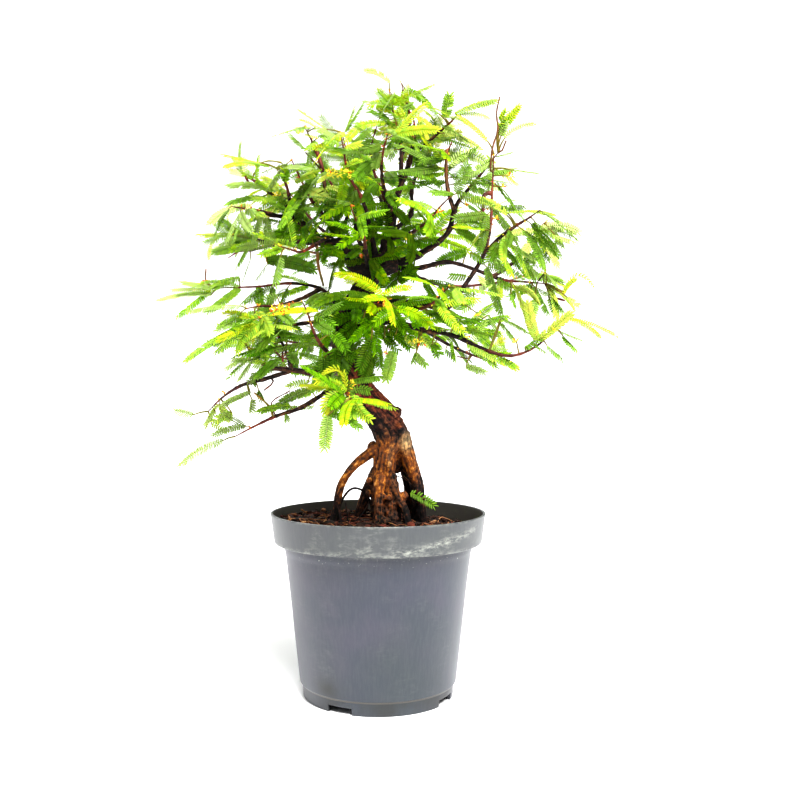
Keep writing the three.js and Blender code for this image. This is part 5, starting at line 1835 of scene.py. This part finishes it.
    def flush(self, cluster: Sequence[float]) -> None:
        """Add a cluster of opening buds on a stem.

        Args:
            cluster: Its row in the branch's flushes.
        """
        x, z, width, height, orange = cluster
        (root, _), rng = self.nearest(x, z), self.rng
        for _ in range(5 + int(width * height / 3)):
            start = Seen.placed(x + rng.uniform(-0.5, 0.5) * width, z + rng.uniform(-0.5, 0.5) * height,
                                root[1] - rng.uniform(2, self.flush_depth))
            aim = unit(rng.normal(0, 1, 3) + [0, -0.4, 0.7])
            length, thick = rng.uniform(1.8, 4.2), rng.uniform(0.4, 0.75)
            lobe = Route([start, start + aim * length / 2, start + aim * length])
            tube(self.draft, lobe, thick * np.array([0.5, 1, 0.8, 0.15]), 6, self.BUD, youth=0.8,
                 vein=float(rng.uniform(0, 1) < 0.75 * orange), pale=0.0)
        stem = Route([root, (root + start) / 2, start])
        tube(self.draft, stem, 0.6 * np.linspace(1.2, 0.8, 6), 5, self.TWIG, **self.PLAIN, youth=0.4)

    def build(self, finishes: Mapping[Age, Material], twig_bark: Material, bud: Material) -> Object:
        """Grow the spray.

        Args:
            finishes: The leaf material of each age.
            twig_bark: The twig's material.
            bud: The buds' material.

        Returns:
            The finished object.
        """
        whole = self.whole
        begin = float(whole.run[round(self.row.shoot_knot() * Route.STEPS)])
        shoot = whole.stretch(self.row.shoot_knot(), len(self.row.points) - 1)
        distances = np.linspace(0, shoot.length, max(int(shoot.length / 2), 6))
        from_node = np.mod(distances, self.node_spacing) - self.node_spacing / 2
        nodes = np.exp(-(from_node / self.node_reach) ** 2)
        radii = np.linspace(self.row.shoot_radius, self.tip_radius, len(distances)) * (0.92 + 0.28 * nodes)
        tube(self.draft, shoot, radii, 7, self.TWIG, **self.PLAIN, youth=0.0)
        depth = float(whole.points[-1][1])
        front = self.added[:max(self.front_added - len(self.row.seen) // 3, 0)]
        added = self.added if depth > self.back_depth else front
        added += self.near_added if depth < self.near_depth else ()
        added = () if self.row.sparse else added
        for number, station in enumerate((*self.stations[:self.row.leaves], *added)):
            if station == 1 and self.row.tip_seen:
                continue
            distance = max(begin + station * shoot.length, 0.15 * begin)
            root = whole.at(distance)
            tangent = whole.tangent(min(distance, whole.length - 1))
            self.leaf.add(self.place(number, root, tangent, station == 1))
            self.buds(root)
        for leaf in self.row.seen:
            self.seen(Seen(*leaf))
        for twig in self.row.twigs:
            self.side_twig(*twig)
        for cluster in self.row.flushes:
            self.flush(cluster)
        age = Age.YOUNG if self.row.youth > self.young_from else Age.OLD
        spray = self.draft.build(f"spray_{self.row.name}", [finishes[age], twig_bark, bud])
        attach(spray, "root")
        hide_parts(f"shoot_{self.row.name}")
        return spray


@dataclass
class Studio:
    """A pale floor, soft lights and the camera at the photograph's place."""

    eye: Point = (0.0, -0.9, 0.2864)
    lens: float = 43.27
    sensor: float = 36.0
    photo_size: int = 800
    axis_pixel: tuple[float, float] = (378.0, 385.8)
    floor_radius: float = 40.0
    floor_sides: int = 64
    aim_height: float = 0.3
    sun_strength: float = 4.4
    sun_width: float = 30.0
    sun_place: tuple[float, float] = (36.0, 20.0)
    sky_strength: float = 0.4
    backdrop_strength: float = 1.1

    def camera(self) -> None:
        """Set up the camera, level and square to the pot's front."""
        data = bpy.data.cameras.new("camera")
        data.lens = self.lens
        data.sensor_width = self.sensor
        data.shift_x = (self.photo_size / 2 - self.axis_pixel[0]) / self.photo_size
        data.shift_y = (self.axis_pixel[1] - self.photo_size / 2) / self.photo_size
        camera = put("camera", data)
        camera.location = self.eye
        camera.rotation_euler = (math.pi / 2, 0, 0)
        bpy.context.scene.camera = camera

    def light(self, name: str, place: Point, power: float, size: float) -> None:
        """Add one soft light that faces the tree.

        Args:
            name: Its name.
            place: Where it hangs, in metres.
            power: Its power in watts.
            size: How wide it is, in metres.
        """
        data = bpy.data.lights.new(name, "AREA")
        data.energy = power
        data.size = size
        lamp = put(name, data)
        lamp.location = place
        aim = -np.array(place) + [0, 0, self.aim_height]
        tilt = math.pi / 2 + math.atan2(aim[2], math.hypot(aim[0], aim[1]))
        lamp.rotation_euler = (tilt, 0, math.atan2(aim[1], aim[0]) - math.pi / 2)

    def sun(self) -> None:
        """Add the sun, soft as through a thin cloud."""
        data = bpy.data.lights.new("sun", "SUN")
        data.energy = self.sun_strength
        data.angle = math.radians(self.sun_width)
        tilt, turn = self.sun_place
        put("sun", data).rotation_euler = (math.radians(tilt), 0, math.radians(turn))

    def floor(self) -> None:
        """Lay the pale floor."""
        turns = circle(self.floor_sides)
        points = np.stack([np.cos(turns), np.sin(turns), turns * 0], axis=1) * self.floor_radius / MM
        paint = Paint("pale_floor")
        grain = paint.noise(paint.place(), 3, 2)
        colour = paint.blend(linear(253, 253, 253), linear(255, 255, 255), grain)
        draft = Draft()
        draft.add(points - [0, 0, 0.05], [np.arange(self.floor_sides)[None, :]])
        floor = draft.build("floor", [paint.finish(colour, 0.9)], smooth=False)

    def build(self) -> None:
        """Set up the camera, floor, lights and sky."""
        self.camera()
        self.floor()
        self.light("key", (1.1, -1.3, 1.8), 17, 0.5)
        self.light("rim", (-0.6, 1.6, 1.7), 20, 1.0)
        self.sun()
        world = bpy.data.worlds.new("studio")
        world.use_nodes = True
        tree = world.node_tree
        background = tree.nodes["Background"]
        background.inputs["Color"].default_value = (1, 1, 1, 1)
        seen = tree.nodes.new("ShaderNodeLightPath").outputs["Is Camera Ray"]
        strength = tree.nodes.new("ShaderNodeMapRange")
        strength.inputs["To Min"].default_value = self.sky_strength
        strength.inputs["To Max"].default_value = self.backdrop_strength
        tree.links.new(seen, strength.inputs["Value"])
        tree.links.new(strength.outputs["Result"], background.inputs["Strength"])
        scene = bpy.context.scene
        scene.world = world
        scene.view_settings.view_transform = "Standard"
        scene.view_settings.look = "High Contrast"


def main() -> None:
    """Build the studio and the potted tree in order, and report each piece."""
    logging.basicConfig(level=logging.INFO, format="%(message)s")
    Studio().build()
    finishes = {
        Age.OLD: Foliage(Age.OLD, linear(120, 200, 10), 0.26).material(),
        Age.YOUNG: Foliage(Age.YOUNG, linear(190, 236, 20), 0.34).material(),
    }
    twig_bark, bud = TwigBark().material(), Bud().material()
    pieces = [Pot().build(), Soil().build(), Wood().build()]
    pieces += [Spray(row, index).build(finishes, twig_bark, bud) for index, row in enumerate(BRANCHES)]
    total = 0
    for piece in pieces:
        triangles = sum(len(face.vertices) - 2 for face in piece.data.polygons)
        total += triangles
        LOG.info("%s: %d triangles", piece.name, triangles)
    LOG.info("all pieces: %d triangles", total)


if __name__ == "__main__":
    main()
